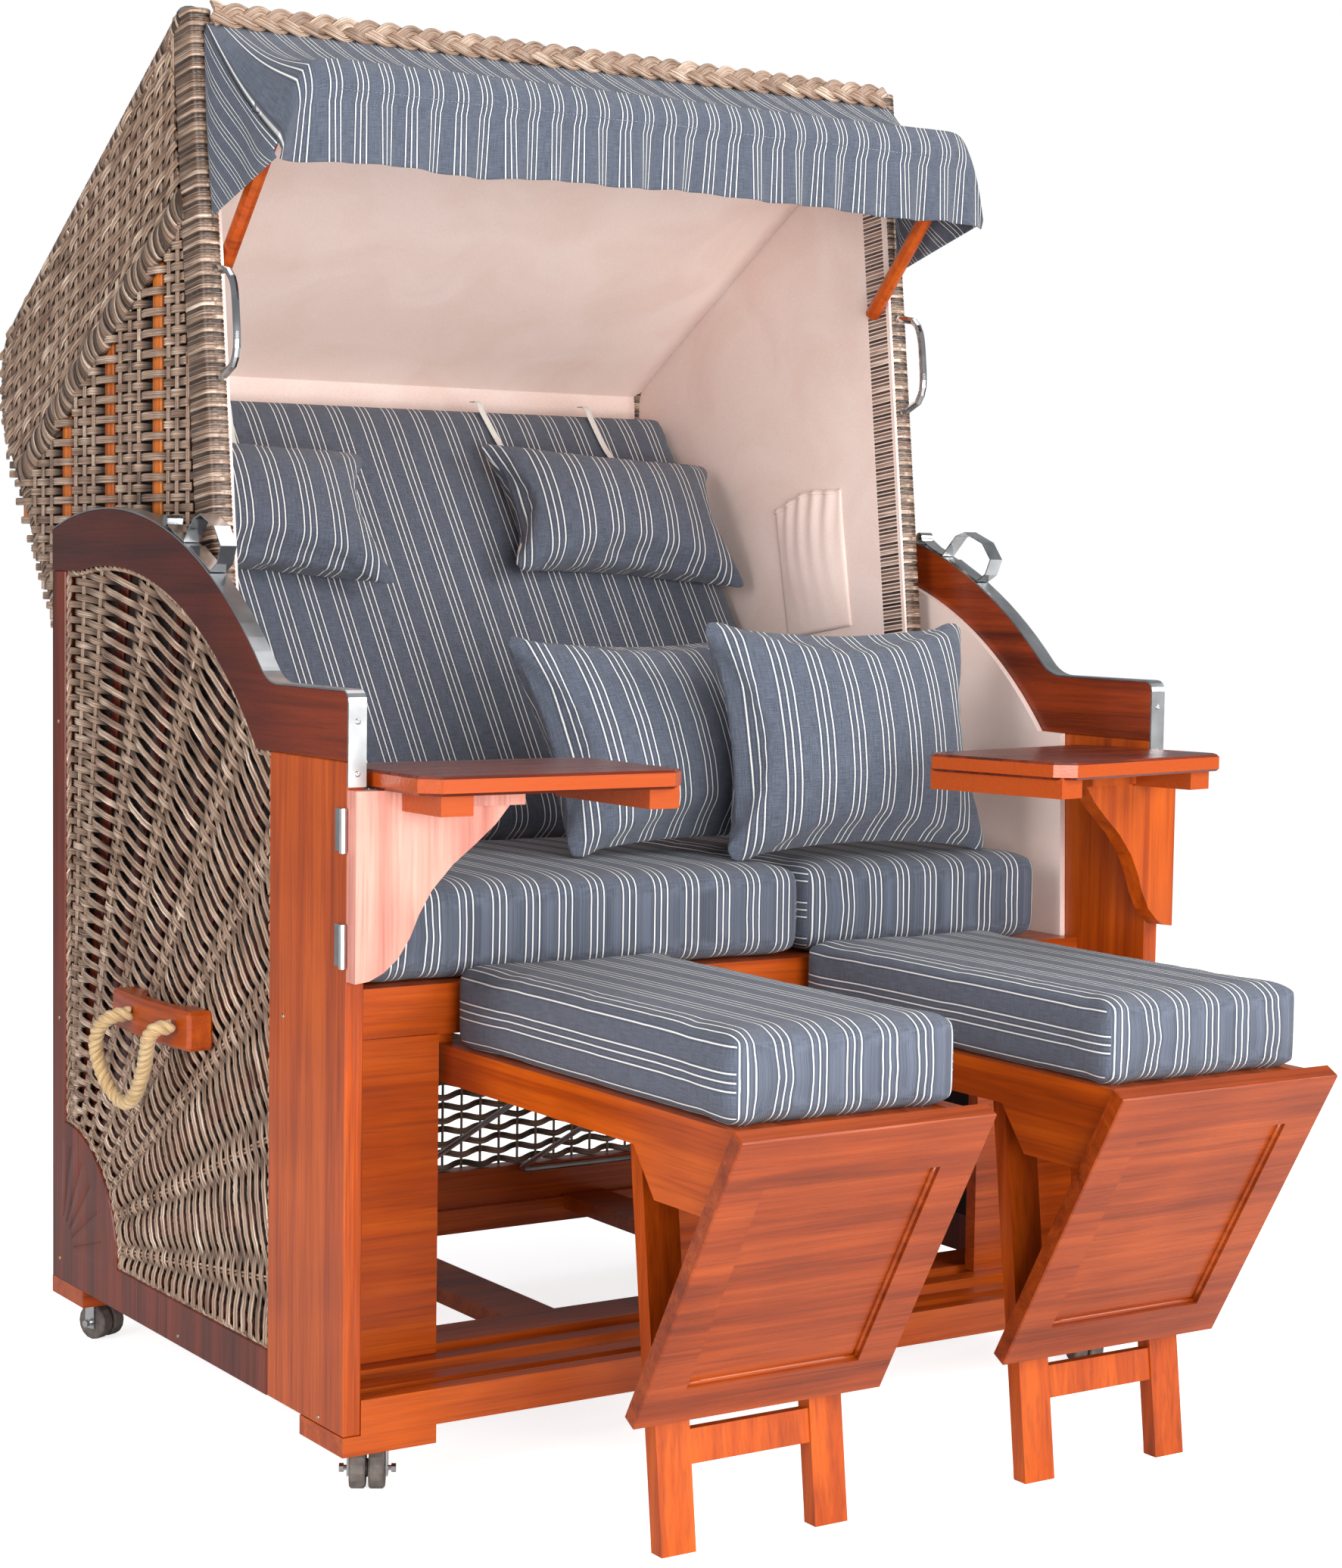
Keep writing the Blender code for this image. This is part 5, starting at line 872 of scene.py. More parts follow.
lower_stakes = [(0.520, 0, 0), (0.552, 0, 0), (0.578, 0, 0), (0.623, 1, 0.013), (0.668, 0, 0), (0.697, 0, 0),
                (0.728, 0, 0), (0.774, 1, 0.013), (0.815, 0, 0), (0.845, 0, 0), (0.875, 0, 0), (0.919, 1, 0.013),
                (0.960, 0, 0), (0.990, 0, 0), (1.020, 0, 0), (1.060, 1, 0.013), (1.100, 0, 0), (1.140, 0, 0),
                (1.180, 0, 0)]
upper_stakes = [(0.50 + 0.034 * step, 0, 0) for step in range(22)]
run = np.linspace(0.46, 1.16, 210)
WIDE = ribbed_section(0.0100, 0.0026, 3)
hood_rows = []
for stakes, count, start, pitch, slope, outline, section in (
        (lower_stakes, 82, 0.42, 0.0125, 0, LOWER, WIDE), (upper_stakes, 66, 1.24, 0.0115, SLOPE, UPPER, SECTION)):
    level = start + pitch * np.arange(count)[:, None] + slope * (run[None] - 0.571)
    depth = run[None] + 0 * level
    hood_rows += woven(depth, level, weave_heights(run, stakes, count), inside(depth, level, outline),
                       on_side(HOOD_FACE + 0.0030), section)
hood_weaves = both("hood_side_weave", hood_rows, STRAND, "hood")
for item, word in zip(hood_weaves, ("left", "right")):
    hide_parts("hood_side_" + word)

thin, broad = [], []
stake_sets = [(place, slat, LOWER) for place, slat, _ in lower_stakes]
stake_sets += [(place, 0, UPPER) for place, _, _ in upper_stakes]
for place, slat, outline in stake_sets:
    for first, last in crossings(outline, place):
        if last - first < 0.03:
            continue
        z = np.linspace(first, last - (0.012 if slat else 0), 60)
        for shift in ((0,) if slat else THIN_PAIR):
            path = beside(HOOD_FACE - (0.0035 if slat else -0.0030), np.stack([np.full(60, place + shift), z], axis=1))
            section = flat_section(0.026, 0.006, 0.0015, 2) if slat else THIN_SECTION
            (broad if slat else thin).append(sweep(path, OUT_LEFT, section, seed=place + shift))
both("hood_side_stakes", thin, STRAND, "hood")
both("hood_side_slats", broad, WOOD_SLAT, "hood")

edge_z = np.array([0.70, 1.655])
band = beside(0.5078, np.stack([hood_front(edge_z) + 0.0305, edge_z], axis=1))
wraps = [wrapped(band, OUT_LEFT, flat_section(0.0600, 0.0300, 0.010), 0.0052, 0.0008)]
roof_line = soft_chain([(0.548, 1.650), (0.575, 1.632), (1.092, 1.318), (1.134, 1.286), (1.136, 1.203),
                        (0.735, 0.650)], 0.004, 0.030)
wraps.append(wrapped(beside(0.5020, roof_line), OUT_LEFT, round_section(0.0225, 18), 0.0056, 0.0011, seed=3.0))
bundle = soft_chain(BUNDLE, 0.005, 0.02)
bundle[:, 1] += 0.0035 * np.sin(2 * np.pi * np.arange(len(bundle)) * 0.005 / 0.075)
wraps.append(wrapped(beside(HOOD_FACE + 0.0020, bundle), OUT_LEFT, round_section(0.0215, 14, 0.45), 0.0060, 0.0012,
                     seed=9.0))
both("hood_side_wraps", wraps, STRAND, "hood")

SIDE_OUTLINE = [(0.405, 0.700), (0.516, 1.640), (0.530, 1.660), *ROOF[1:],
                (0.709, 0.420), (0.655, 0.376), (0.605, 0.405)]
for word, side in SIDES:
    # near-black board behind the weave: painted shade in the gaps
    plate("hood_side_gap_shade_" + word, SIDE_OUTLINE, 0.5040, 0.5110, GAP_SHADE_BOARD, "hood", side)
    plate("hood_side_lining_" + word, SIDE_OUTLINE, 0.4930, 0.5030, LINING, "hood", side)

# %% [markdown]
# ### Roof, back and brow
#
# Rows run across the roof and down the back over stakes from front to back. Under them a pale lining is
# stretched, and a flat braid finishes the front edge above a slim orange rail.

# %% Roof, back and brow
chain = soft_chain(ROOF[1:], 0.005, 0.020)
run_along = lengths(chain)
tangent = unit(np.gradient(chain, axis=0))
outward = np.stack([-tangent[:, 1], tangent[:, 0]], axis=1)


def on_roof(x, along, out):
    """Map from width, way along the roof and relief to the chair."""
    y, z = (np.interp(along, run_along, chain[:, i]) for i in range(2))
    ny, nz = (np.interp(along, run_along, outward[:, i]) for i in range(2))
    lift = out - 0.0060
    return np.stack([x, y + ny * lift, z + nz * lift], axis=1), np.stack([0 * x, ny, nz], axis=1)


across = np.linspace(-0.485, 0.485, 132)
roof_stakes = [(-0.500 + 0.0385 * step, step % 4 == 2, 0.011) for step in range(27)]
ROOF_PITCH = 0.0128
count = int(run_along[-1] / ROOF_PITCH)
heights = weave_heights(across, roof_stakes, count)
width = across[None] + np.zeros((count, 1))
along_rows = 0.010 + ROOF_PITCH * np.arange(count)[:, None] + 0 * across[None]
roof_rows = woven(width, along_rows, heights, np.ones(width.shape, dtype=bool), on_roof, WIDE)
roof_weave = strips("roof_and_back_weave", roof_rows, STRAND, "hood")
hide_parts("hood_back_roof")
thin, broad = [], []
stake_run = np.linspace(0.004, run_along[-1] - 0.004, 260)
for place, slat, _ in roof_stakes[1:-1]:
    for shift in ((0,) if slat else THIN_PAIR):
        path, normal = on_roof(np.full(260, place + shift), stake_run, -0.0065 if slat else 0.0)
        section = flat_section(0.022, 0.005, 0.0012, 2) if slat else THIN_SECTION
        (broad if slat else thin).append(sweep(path, normal, section, seed=place + shift))
strips("roof_and_back_stakes", thin, STRAND, "hood")
strips("roof_and_back_slats", broad, WOOD_SLAT, "hood")


def on_back_panel(x, z, out):
    """Map from width, height and relief to the open panel between the rear posts."""
    depth = 0.7985 - out + 0 * x
    return np.stack([x, depth, z], axis=1), np.array([0.0, -1.0, 0.0])


LATTICE_PITCH = 0.0300
lattice_x = np.linspace(-0.538, 0.538, 220)
lattice_stakes = [(-0.555 + LATTICE_PITCH * step, 0, 0) for step in range(38)]
lattice_z = np.arange(0.172, 0.466, 0.0165)
heights = weave_heights(lattice_x, lattice_stakes, len(lattice_z))
width = lattice_x[None] + np.zeros((len(lattice_z), 1))
drift = 0.0026 * np.sin(lattice_x[None] * 2 * np.pi / (2 * LATTICE_PITCH) + np.pi * np.arange(len(lattice_z))[:, None])
rows = woven(width, lattice_z[:, None] + drift, heights, np.ones(width.shape, dtype=bool), on_back_panel)
upright = np.linspace(0.1660, 0.4675, 30)
for place, _, _ in lattice_stakes[1:-1]:
    path, normal = on_back_panel(np.full(30, place), upright, 0.0)
    rows.append(sweep(path, normal, round_section(0.0021, 6), seed=place))
# the lattice takes the darker strand copy: painted shade
lattice = strips("rear_lattice", rows, STRAND_SHADED, "base")
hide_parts("rear_wicker_panel")


def thickened(item, thickness):
    """Real thickness of a sheet, half on each side."""
    wall = item.modifiers.new("thickness", "SOLIDIFY")
    wall.thickness = thickness
    wall.offset = 0


def sheet_grid(name, points, finish, thickness):
    """Sheet on the hood from a grid of points."""
    quads = grid_faces(np.arange(points.shape[0] * points.shape[1]).reshape(points.shape[:2]))
    thickened(build(name, points.reshape(-1, 3), quads, finish, "hood"), thickness)


def board_shell(name, outer_gap, inner_gap, finish):
    """Shell that follows the roof and the back between two depths below the weave."""
    line = np.vstack([chain[0] + (chain[0] - chain[1]) * 0.5, chain])
    face = np.vstack([outward[0], outward])
    middle = line - face * (outer_gap + inner_gap) / 2
    xs = np.linspace(-0.4925, 0.4925, 40)
    points = np.stack(np.broadcast_arrays(xs[None, :], middle[:, None, 0], middle[:, None, 1]), axis=-1)
    sheet_grid(name, points, finish, inner_gap - outer_gap)


# near-black shell behind the weave: painted shade in the gaps
board_shell("roof_and_back_gap_shade", 0.0160, 0.0200, GAP_SHADE_BOARD)
board_shell("roof_and_back_lining", 0.0330, 0.0395, LINING)

# %% [markdown]
# The brow is a straight rail between the hood's sides. A braid of three flat strands lies along its top
# edge, and an orange strip shows under the braid.

# %% Brow rail and braid
brow_x = np.array([-0.4925, 0.4925])
rail = np.stack([brow_x, np.full(2, 0.5325), np.full(2, 1.632)], axis=1)
strips("brow_rail", [sweep(rail, (0, 0, 1), flat_section(0.030, 0.040, 0.004), seed=2.0)], WOOD_X, "hood")
orange = np.stack([brow_x, np.full(2, 0.5160), np.full(2, 1.640)], axis=1)
strips("brow_strip", [sweep(orange, (0, 0, 1), flat_section(0.0050, 0.010, 0.001))], WOOD_X, "hood")


def braid(start, end, out, width, height, pitch, section):
    """Flat braid of three strands: across = width sin(a), height sin(2a), a = 2 pi along / pitch + third."""
    start, end, out = (np.asarray(item, dtype=float) for item in (start, end, out))
    length = np.linalg.norm(end - start)
    share = np.linspace(0, 1, int(length / 0.0022))[:, None]
    run = (end - start) / length
    side = np.cross(run, out)
    parts = []
    for strand_number in range(3):
        angle = 2 * np.pi * (share * length / pitch + strand_number / 3)
        path = start + share * (end - start) + side * width * np.sin(angle) + out * height * np.sin(2 * angle)
        parts.append(sweep(path, np.broadcast_to(out, path.shape), section, seed=float(strand_number)))
    return parts


plait = braid((-0.497, 0.5090, 1.6515), (0.497, 0.5090, 1.6515), (0, -0.94, 0.34), 0.0100, 0.0030, 0.088,
              ribbed_section(0.0145, 0.0034, 5))
strips("brow_braid", plait, STRAND, "hood")

# %% [markdown]
# ## Canopy
#
# One sheet of the striped cloth is fixed under the braid, runs over the canopy's bar and hangs in front
# as a valance with a stitched channel for the bar. Its corners fall to a point beside the bar's ends and
# go back to the hood as gussets.

# %% Canopy
COLUMNS, ROOF_ROWS, DROP_ROWS, FLAP_ROWS = 221, 34, 26, 22
CLOTH_HALF = 0.5055
FLAP_REAR, FLAP_FRONT = 1.405, 1.462
CLOTH_THICKNESS = 0.0012


def canopy_points():
    """Canopy cloth: top edge to brow on straight runs with a sag, then down; the corners slant to tips."""
    x = CLOTH_HALF * np.linspace(-1, 1, COLUMNS)
    top_y, top_z = 0.5105, 1.6395
    edge = np.clip((np.abs(x) - 0.435) / (CLOTH_HALF - 0.435), 0, 1)
    brow_z = 1.5765 - 0.098 * edge ** 3.6
    brow_y = 0.2985 + 0.010 * edge + 0.0035 * np.sin(7.3 * x + 0.6) * (1 - edge)
    chance = np.random.default_rng(11)
    ripple = sum(a * np.sin(f * x * 2 * np.pi + p) for a, f, p in
                 zip(0.0016 * chance.random(6) + 0.0006, (2.1, 3.7, 5.3, 8.9, 12.7, 17.1), chance.random(6) * 6))
    share = np.linspace(0, 1, ROOF_ROWS)[:, None]
    y = top_y + share * (brow_y - top_y)
    z = top_z + share * (brow_z - top_z)
    z = z - 0.016 * np.sin(np.pi * share) * (1 - 0.6 * edge) - 0.006 * edge * np.sin(np.pi * share)
    z = z + ripple * 0.8 * np.sin(np.pi * share) ** 0.7
    roof = np.stack(np.broadcast_arrays(x[None], y, z), axis=-1)
    hem = 1.4625 + 0.0035 * np.sin(9.1 * x + 1.1) + 0.0018 * np.sin(31 * x) - 0.004 * edge
    down_share = np.linspace(0, 1, DROP_ROWS + 1)[1:, None]
    round_off = 0.0105 * (1 - np.exp(-down_share * 9))
    zdown = brow_z - 0.006 * (1 - np.exp(-down_share * 14)) + down_share * (hem + 0.006 - brow_z)
    puff = 0.010 * np.sin(np.pi * np.clip(down_share * 2.6, 0, 1)) * (1 - edge)
    ydown = brow_y - round_off - puff * 0.6 + ripple * 2.6 * down_share ** 1.2 + 0.004 * down_share
    drop = np.stack(np.broadcast_arrays(x[None], ydown, zdown), axis=-1)
    main = np.vstack([roof, drop])
    flaps = []
    for column, sign in ((0, -1), (-1, 1)):
        start = roof[:, column]
        low_y = np.minimum(start[:, 1], hood_front(FLAP_REAR) - 0.002)
        low_z = FLAP_REAR + (FLAP_FRONT - FLAP_REAR) * share[:, 0]
        low_y = low_y + 0.004 * share[:, 0]
        fall = np.linspace(0, 1, FLAP_ROWS + 1)[1:, None]
        fx = start[None, :, 0] + sign * (0.0010 + 0.006 * np.sin(np.pi * fall) * (0.4 + 0.6 * np.sin(9 * share.T)))
        fz = start[None, :, 2] + fall * (low_z[None] - start[None, :, 2])
        limit = hood_front(fz) - 0.0012
        fy = np.minimum(start[None, :, 1] + fall * (low_y[None] - start[None, :, 1]), limit)
        flaps.append(np.stack([fx, fy, fz], axis=-1))
    return main, flaps, x


main, flaps, cloth_x = canopy_points()
verts = [main.reshape(-1, 3)]
index = np.arange(main.shape[0] * COLUMNS).reshape(-1, COLUMNS)
quads = [grid_faces(index)]
fall = lengths(main[:, COLUMNS // 2])
uv = [np.stack(np.broadcast_arrays(cloth_x[None], fall[:, None]), axis=-1).reshape(-1, 2)]
start = index.size
for flap, column, sign in zip(flaps, (0, COLUMNS - 1), (-1, 1)):
    own = start + np.arange(flap.shape[0] * ROOF_ROWS).reshape(flap.shape[0], ROOF_ROWS)
    grid = np.vstack([index[:ROOF_ROWS, column][None], own])
    face = np.stack([grid[:-1, :-1], grid[:-1, 1:], grid[1:, 1:], grid[1:, :-1]], axis=-1).reshape(-1, 4)
    quads.append(face if sign < 0 else face[:, ::-1])
    verts.append(flap.reshape(-1, 3))
    down_flap = np.linalg.norm(flap - flap[:1], axis=-1) + 0.004
    across_uv = sign * (CLOTH_HALF + down_flap)
    uv.append(np.stack([across_uv, np.broadcast_to(fall[None, :ROOF_ROWS], across_uv.shape)], axis=-1).reshape(-1, 2))
    start += own.size
verts, quads, uv = np.vstack(verts), np.vstack(quads), np.vstack(uv) * (1.36, 1.0)
canopy = build("canopy_cloth_sheet", verts, quads, STRIPED, None, uv=uv[quads.ravel()])
thickened(canopy, CLOTH_THICKNESS)
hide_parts("canopy_cloth")
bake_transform(canopy)


STITCH_PITCH = 0.0052
seam = resample(main[ROOF_ROWS + 6, 14:-14] - (0, 0.0014, 0), STITCH_PITCH / 4)
parts = [sweep(seam[4 * number:4 * number + 4], (0, -1, 0), round_section(0.00045, 5), seed=float(number))
         for number in range((len(seam) - 1) // 4)]
strips("canopy_stitching", parts, WEBBING_THREAD, "canopy")

# %% [markdown]
# ## Cushions
#
# Each cushion starts from its form in the model, is remeshed finely and then blown up a little as cloth,
# so that its skin puckers at the seams. Its stripes are laid on before that, so they follow the skin.

# %% Cushions
CLOTH_SETTINGS = {
    "quality": 5, "mass": 0.25, "tension_stiffness": 18, "compression_stiffness": 14, "shear_stiffness": 6,
    "bending_stiffness": 0.15, "use_pressure": True}


def read(items, key, width=1, kind=float):
    """One value of every item of a mesh, as an array."""
    values = np.empty(len(items) * width, dtype=kind)
    items.foreach_get(key, values)
    return values.reshape(-1, width) if width > 1 else values


def blow_up(item, rest, cap, slack, pressure):
    """Points after a short cloth simulation under pressure, none moved further than the cap."""
    cloth = item.modifiers.new("cloth", "CLOTH")
    for key, value in CLOTH_SETTINGS.items():
        setattr(cloth.settings, key, value)
    cloth.settings.uniform_pressure_force = pressure
    cloth.settings.shrink_min = -slack
    cloth.settings.effector_weights.gravity = 0
    cloth.point_cache.frame_start = 1
    cloth.point_cache.frame_end = 20
    for step in range(1, 15):
        bpy.context.scene.frame_set(step)
    shift = read(item.evaluated_get(bpy.context.evaluated_depsgraph_get()).data.vertices, "co", 3) - rest
    size = np.linalg.norm(shift, axis=1, keepdims=True)
    item.modifiers.remove(cloth)
    bpy.context.scene.frame_set(1)
    return rest + shift * np.minimum(1, cap / np.maximum(size, 1e-9))


def cushion(node, axis_u, axis_v, side_axis, cap, voxel, slack=0.0, lean_side=True, pressure=4.0, pinch=0.0):
    """Cushion from a node of the model, with stripes along axis_v and, on its ends, across side_axis.

    A pinched one thins towards its rim by the root of (1 - a^4)(1 - b^4), and its corners are drawn out.
    """
    item = placed(node + "_cover", NODES[node].data.copy())
    remesh = item.modifiers.new("remesh", "REMESH")
    remesh.mode = "VOXEL"
    remesh.voxel_size = voxel
    relax = item.modifiers.new("relax", "SMOOTH")
    relax.factor = 0.5
    relax.iterations = 4
    view = bpy.context.evaluated_depsgraph_get()
    final = bpy.data.meshes.new_from_object(item.evaluated_get(view), depsgraph=view)
    item.modifiers.clear()
    item.data = final
    final.materials.clear()
    final.materials.append(STRIPED)
    rest = read(final.vertices, "co", 3)
    middle = (rest.min(axis=0) + rest.max(axis=0)) / 2
    u_way, v_way, w_way = (unit(np.asarray(way, dtype=float)[None])[0] for way in (axis_u, axis_v, side_axis))
    loops = read(final.loops, "vertex_index", kind=np.int32)
    normals = read(final.polygons, "normal", 3)
    sizes = read(final.polygons, "loop_total", kind=np.int32)
    face_of = np.repeat(np.arange(len(sizes)), sizes)
    end = (np.abs(normals @ u_way) > 0.75)[face_of] if lean_side else np.zeros(len(loops), dtype=bool)
    local = rest - middle
    u = np.where(end, (local @ w_way)[loops] + 0.011, (local @ u_way)[loops])
    v = (local @ v_way)[loops]
    layer = final.uv_layers.new(name="cloth")
    layer.uv.foreach_set("vector", np.stack([u, v], axis=1).ravel())
    if pinch:
        through = np.cross(u_way, v_way)
        share = np.abs(np.stack([local @ u_way, local @ v_way]))
        share = share / share.max(axis=1, keepdims=True)
        thin = 0.12 + 0.88 * np.sqrt(np.prod(1 - share ** 4, axis=0).clip(0, 1))
        depth = local @ through
        rest = rest + ((thin - 1) * depth)[:, None] * through
        rest = rest + (pinch * np.prod(share, axis=0) ** 2)[:, None] * (local - depth[:, None] * through)
        final.vertices.foreach_set("co", rest.ravel())
    final.vertices.foreach_set("co", blow_up(item, rest, cap, slack, pressure).ravel())
    final.shade_smooth()
    fine = item.modifiers.new("fine", "SUBSURF")
    fine.levels = 1
    fine.render_levels = 1
    final.update()
    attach(item, next(name for name, members in frame["record"]["behaviour"]["bodies"].items() if node in members))
    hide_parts(node)


LEAN = math.radians(35.9)
UP_BACK = (0, math.sin(LEAN), math.cos(LEAN))
THROUGH = (0, math.cos(LEAN), -math.sin(LEAN))
PILLOW_ROLL = math.radians(4.0)
PILLOW_ACROSS = (math.cos(PILLOW_ROLL), -math.sin(PILLOW_ROLL) * UP_BACK[1], -math.sin(PILLOW_ROLL) * UP_BACK[2])
for word, side in SIDES:
    cushion("seat_cushion_" + word, (1, 0, 0), (0, 1, 0), (0, 0, 1), 0.004, 0.009)
    cushion("footrest_cushion_" + word, (1, 0, 0), (0, 1, 0), (0, 0, 1), 0.005, 0.0085, slack=0.01)
    cushion("neck_pillow_" + word, PILLOW_ACROSS, UP_BACK, THROUGH, 0.012, 0.0060, slack=0.04, lean_side=False,
            pressure=7.0, pinch=0.07)
for word, lean, swing in (("left", 27.0, 8.0), ("right", 12.0, 0.0)):
    lean, swing = math.radians(lean), math.radians(swing)
    along = (math.cos(swing), math.sin(swing), 0)
    up = (-math.sin(swing) * math.sin(lean), math.cos(swing) * math.sin(lean), math.cos(lean))
    cushion("scatter_cushion_" + word, along, up, (0, 1, 0), 0.012, 0.0070, slack=0.03, lean_side=False,
            pressure=6.0, pinch=0.05)
cushion("backrest_cushion", (1, 0, 0), UP_BACK, THROUGH, 0.004, 0.011)

# %% [markdown]
# ## Small pieces
#
# White webbing holds the neck pillows, a gathered pocket is sewn on each inner side of the hood, a bead
# frames each footrest panel, and screws hold the frames and the steel strips.

# %% Small pieces
def on_slope(x, along, out):
    """Point up the backrest's face and behind it."""
    return (x, 0.615 + along * math.sin(LEAN) + out * math.cos(LEAN),
            0.664 + along * math.cos(LEAN) - out * math.sin(LEAN))


straps = []
for start_x, end_x in ((-0.262, -0.246), (0.176, 0.160), (0.352, 0.344)):
    chosen = [(start_x, 0.560, -0.050), (start_x, 0.590, -0.022), (0.6 * start_x + 0.4 * end_x, 0.630, -0.008),
              (end_x, 0.690, -0.006), (end_x, 0.712, -0.004), (end_x, 0.724, 0.010)]
    points = smooth_route([on_slope(*spot) for spot in chosen], 40)
    straps.append(sweep(points, (0, -math.cos(LEAN), math.sin(LEAN)), flat_section(0.0100, 0.0014, 0.0005, 2)))
strips("pillow_straps", straps, WEBBING_PLAIN, "hood")

share = np.linspace(0, 1, 40)
p, q = np.meshgrid(share, share)
corners = np.array([(0.743, 1.092), (0.585, 1.122), (0.553, 0.930), (0.705, 0.908)])
flat = ((1 - p) * (1 - q))[..., None] * corners[0] + (p * (1 - q))[..., None] * corners[1]
flat = flat + (p * q)[..., None] * corners[2] + ((1 - p) * q)[..., None] * corners[3]
bulge = 0.010 * np.sin(np.pi * p) ** 0.6 * (0.35 + 0.65 * np.sin(np.pi * q).clip(0) ** 0.5)
bulge = bulge + 0.0030 * np.sin(p * 2 * np.pi * 5 + 2 * np.sin(4 * q)) * np.exp(-q * 3.5) * np.sin(np.pi * p) ** 0.3
flat[..., 1] += 0.010 * np.sin(np.pi * p) ** 2 * (1 - q)
for word, side in SIDES:
    points = np.stack([side * (0.4922 - bulge), flat[..., 0], flat[..., 1]], axis=-1)
    sheet_grid("pocket_" + word, points, LINING, CLOTH_THICKNESS)
    hem = points[1] - (side * 0.0006, 0, 0)
    strips("pocket_hem_" + word, [sweep(hem, (side, 0, 0), round_section(0.0022, 8, 0.7))], LINING, "hood")

FOOTREST_MIDDLE = 0.240
PANEL_LEAN = math.radians(29.65)
LEAN_SIN, LEAN_COS = math.sin(PANEL_LEAN), math.cos(PANEL_LEAN)
BEAD_CORNERS = [(-0.1065, 0.0635), (0.1065, 0.0635), (0.1065, 0.3245), (-0.1065, 0.3245), (-0.1065, 0.0635)]
for word, side in SIDES:
    beads = []
    for ends in zip(BEAD_CORNERS[:-1], BEAD_CORNERS[1:]):
        line = [(side * FOOTREST_MIDDLE + x, -0.485 + a * LEAN_SIN + 0.0062 * LEAN_COS,
                 0.464 - a * LEAN_COS + 0.0062 * LEAN_SIN) for x, a in ends]
        beads.append(sweep(resample(line, 0.02), (0, -LEAN_COS, -LEAN_SIN), round_section(0.0030, 10)))
    strips("panel_bead_" + word, beads, WOOD_PANEL, "footrest_" + word)


def screws(name, spots, out, finish, body, radius=0.0032):
    """Domed screw heads with a recess: rings of points about each place, for all places at once."""
    spots = np.asarray(spots, dtype=float)
    out = unit(np.broadcast_to(np.asarray(out, dtype=float), spots.shape))
    first = unit(np.cross(out, np.where(np.abs(out[:, :1]) > 0.8, (0.0, 1.0, 0.0), (1.0, 0.0, 0.0))))
    second = np.cross(out, first)
    profile = np.array([(1.0, -0.15), (1.0, 0.06), (0.86, 0.20), (0.55, 0.30), (0.36, 0.31), (0.30, 0.12)]) * radius
    angle = np.arange(16) * np.pi / 8
    circle = np.cos(angle)[:, None, None] * first + np.sin(angle)[:, None, None] * second
    rings = profile[:, 0, None, None, None] * circle[None] + profile[:, 1, None, None, None] * out
    verts = (rings + spots).transpose(2, 0, 1, 3)
    count = len(spots)
    base = np.arange(count)[:, None, None] * 98 + np.arange(96).reshape(1, 6, 16)
    verts = np.concatenate([verts.reshape(count, 96, 3), (spots + out * profile[-1, 1])[:, None],
                            (spots + out * profile[0, 1])[:, None]], axis=1)
    after = np.roll(base, -1, axis=2)
    quads = np.stack([base[:, :-1], after[:, :-1], after[:, 1:], base[:, 1:]], axis=-1).reshape(-1, 4)
    hub = np.arange(count)[:, None] * 98
    tris = np.vstack([np.stack(np.broadcast_arrays(base[:, -1], after[:, -1], hub + 96), axis=-1).reshape(-1, 3),
                      np.stack(np.broadcast_arrays(after[:, 0], base[:, 0], hub + 97), axis=-1).reshape(-1, 3)])
    build(name, verts.reshape(-1, 3), quads, finish, body, tris)


side_spots = [(0.810, 0.419), (0.808, 0.106), (0.151, 0.511), (0.059, 0.087), (0.432, 0.090), (0.812, 0.800)]
for word, side in SIDES:
    screws("frame_screws_" + word, [(side * 0.5701, y, z) for y, z in side_spots], (side, 0, 0), BRASS, "base", 0.0030)
    screws("strip_screws_" + word, [(side * 0.5593, -0.0027, z) for z in (0.842, 0.787)], (0, -1, 0), STEEL, "base")

# %% [markdown]
# ## Finishes on the model's own pieces
#
# Boards and steel keep their shape from the model and take the detailed finishes. The grain follows the
# length of each board.

# %% Finishes on the model's pieces
TABLE_TURN = math.radians(12)
FINISHES = {
    "front_post": WOOD_Z, "arm_arch_left": WOOD_ARCH_SHADED, "arm_arch_right": WOOD_ARM, "rear_frame": WOOD_FAN_SHADED,
    "steel_strip": STEEL, "carry_grip": WOOD_Y,
    "guide_rods": STEEL, "table_hinge": STEEL, "base_chassis": WOOD_X, "front_facia": WOOD_X, "seat_board": WOOD_X,
    "rear_wicker_panel": STRAND_SHADED, "bow_handle": CHROME, "latch_lever": CHROME, "canopy_frame": WOOD_X,
    "table_bracket_left": WOOD_BARE, "table_bracket_right": WOOD_Z,
    "table_top_left": table_finish("left", (0.0, 1.0)),
    "table_top_right": table_finish("right", (math.sin(TABLE_TURN), math.cos(TABLE_TURN))),
    "footrest_frame": WOOD_Y, "footrest_panel": WOOD_PANEL, "footrest_legs": WOOD_Z, "castor_fork": CHROME,
    "castor_wheels": RUBBER}
for name, item in NODES.items():
    for start_word, finish in FINISHES.items():
        if name.startswith(start_word) and not item.hide_render:
            for slot in item.material_slots:
                slot.material = finish

# %% [markdown]
# ## Studio
#
# Plain white floor and background, a large soft light from the front right, a fill from the front, a
# light from the left and a weaker one from above.

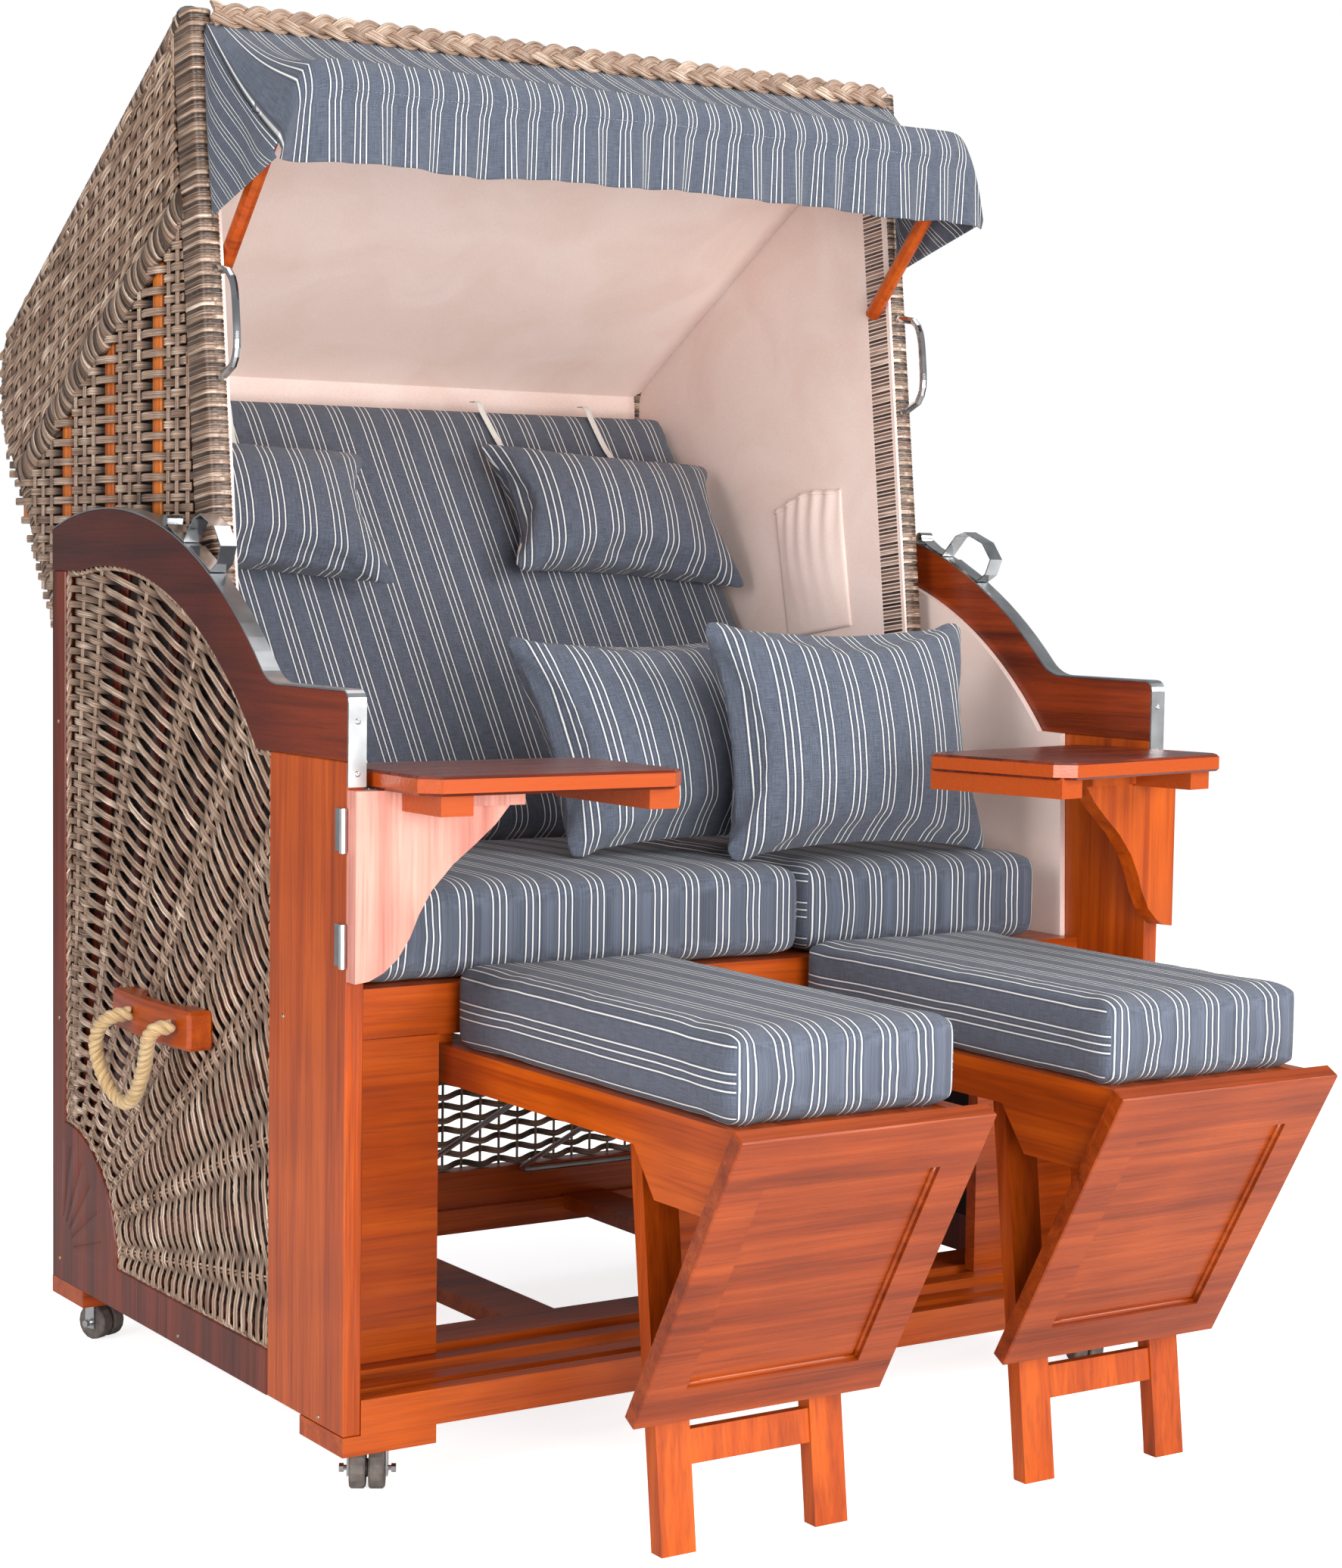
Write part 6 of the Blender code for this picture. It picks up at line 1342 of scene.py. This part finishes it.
# %% Studio
world = bpy.data.worlds.new("studio")
bpy.context.scene.world = world
world.use_nodes = True
tree = world.node_tree
background = tree.nodes["Background"]
seen = add(tree, "ShaderNodeLightPath").outputs["Is Camera Ray"]
tree.links.new(mix(tree, seen, (0.78, 0.80, 0.83, 1), (1, 1, 1, 1)), background.inputs["Color"])
tree.links.new(maths(tree, "MULTIPLY_ADD", seen, 0.62, 0.38), background.inputs["Strength"])

floor_mesh = bpy.data.meshes.new("studio_floor")
FLOOR_CORNERS = ((-30, -30), (30, -30), (30, 30), (-30, 30))
floor_mesh.from_pydata([(x, y, -0.0005) for x, y in FLOOR_CORNERS], [], [(0, 1, 2, 3)])
floor = placed("studio_floor", floor_mesh)
floor_finish, floor_tree, floor_shader = material("white_paper_floor", 0.9)
floor_shader.inputs["Base Color"].default_value = srgb("#e4e4e4")
floor_shader.inputs["Emission Color"].default_value = (1, 1, 1, 1)
floor_seen = add(floor_tree, "ShaderNodeLightPath").outputs["Is Camera Ray"]
floor_tree.links.new(maths(floor_tree, "MULTIPLY", floor_seen, 0.78), floor_shader.inputs["Emission Strength"])
floor_mesh.materials.append(floor_finish)


def lamp(name, place, target, size, power, colour=(1, 1, 1)):
    """Rectangular light that faces a point."""
    data = bpy.data.lights.new(name, "AREA")
    data.shape = "RECTANGLE"
    data.size, data.size_y = size
    data.energy = power
    data.color = colour
    item = placed(name, data)
    item.location = place
    item.rotation_euler = (Vector(target) - Vector(place)).to_track_quat("-Z", "Y").to_euler()


lamp("key_light", (2.6, -3.6, 2.6), (0, 0, 0.7), (2.2, 2.2), 150, (1.0, 0.99, 0.97))
lamp("front_fill", (-0.7, -3.8, 0.9), (0, 0.1, 1.1), (2.6, 1.4), 150, (1.0, 0.99, 0.98))
lamp("side_light", (-4.0, -1.2, 1.6), (0, 0.1, 0.8), (1.8, 2.4), 95, (1.0, 1.0, 1.0))
lamp("top_light", (0.2, 0.4, 4.4), (0, 0, 0.6), (3.0, 3.0), 60)
bpy.context.scene.view_settings.view_transform = "Standard"
bpy.context.scene.view_settings.exposure = 0.0
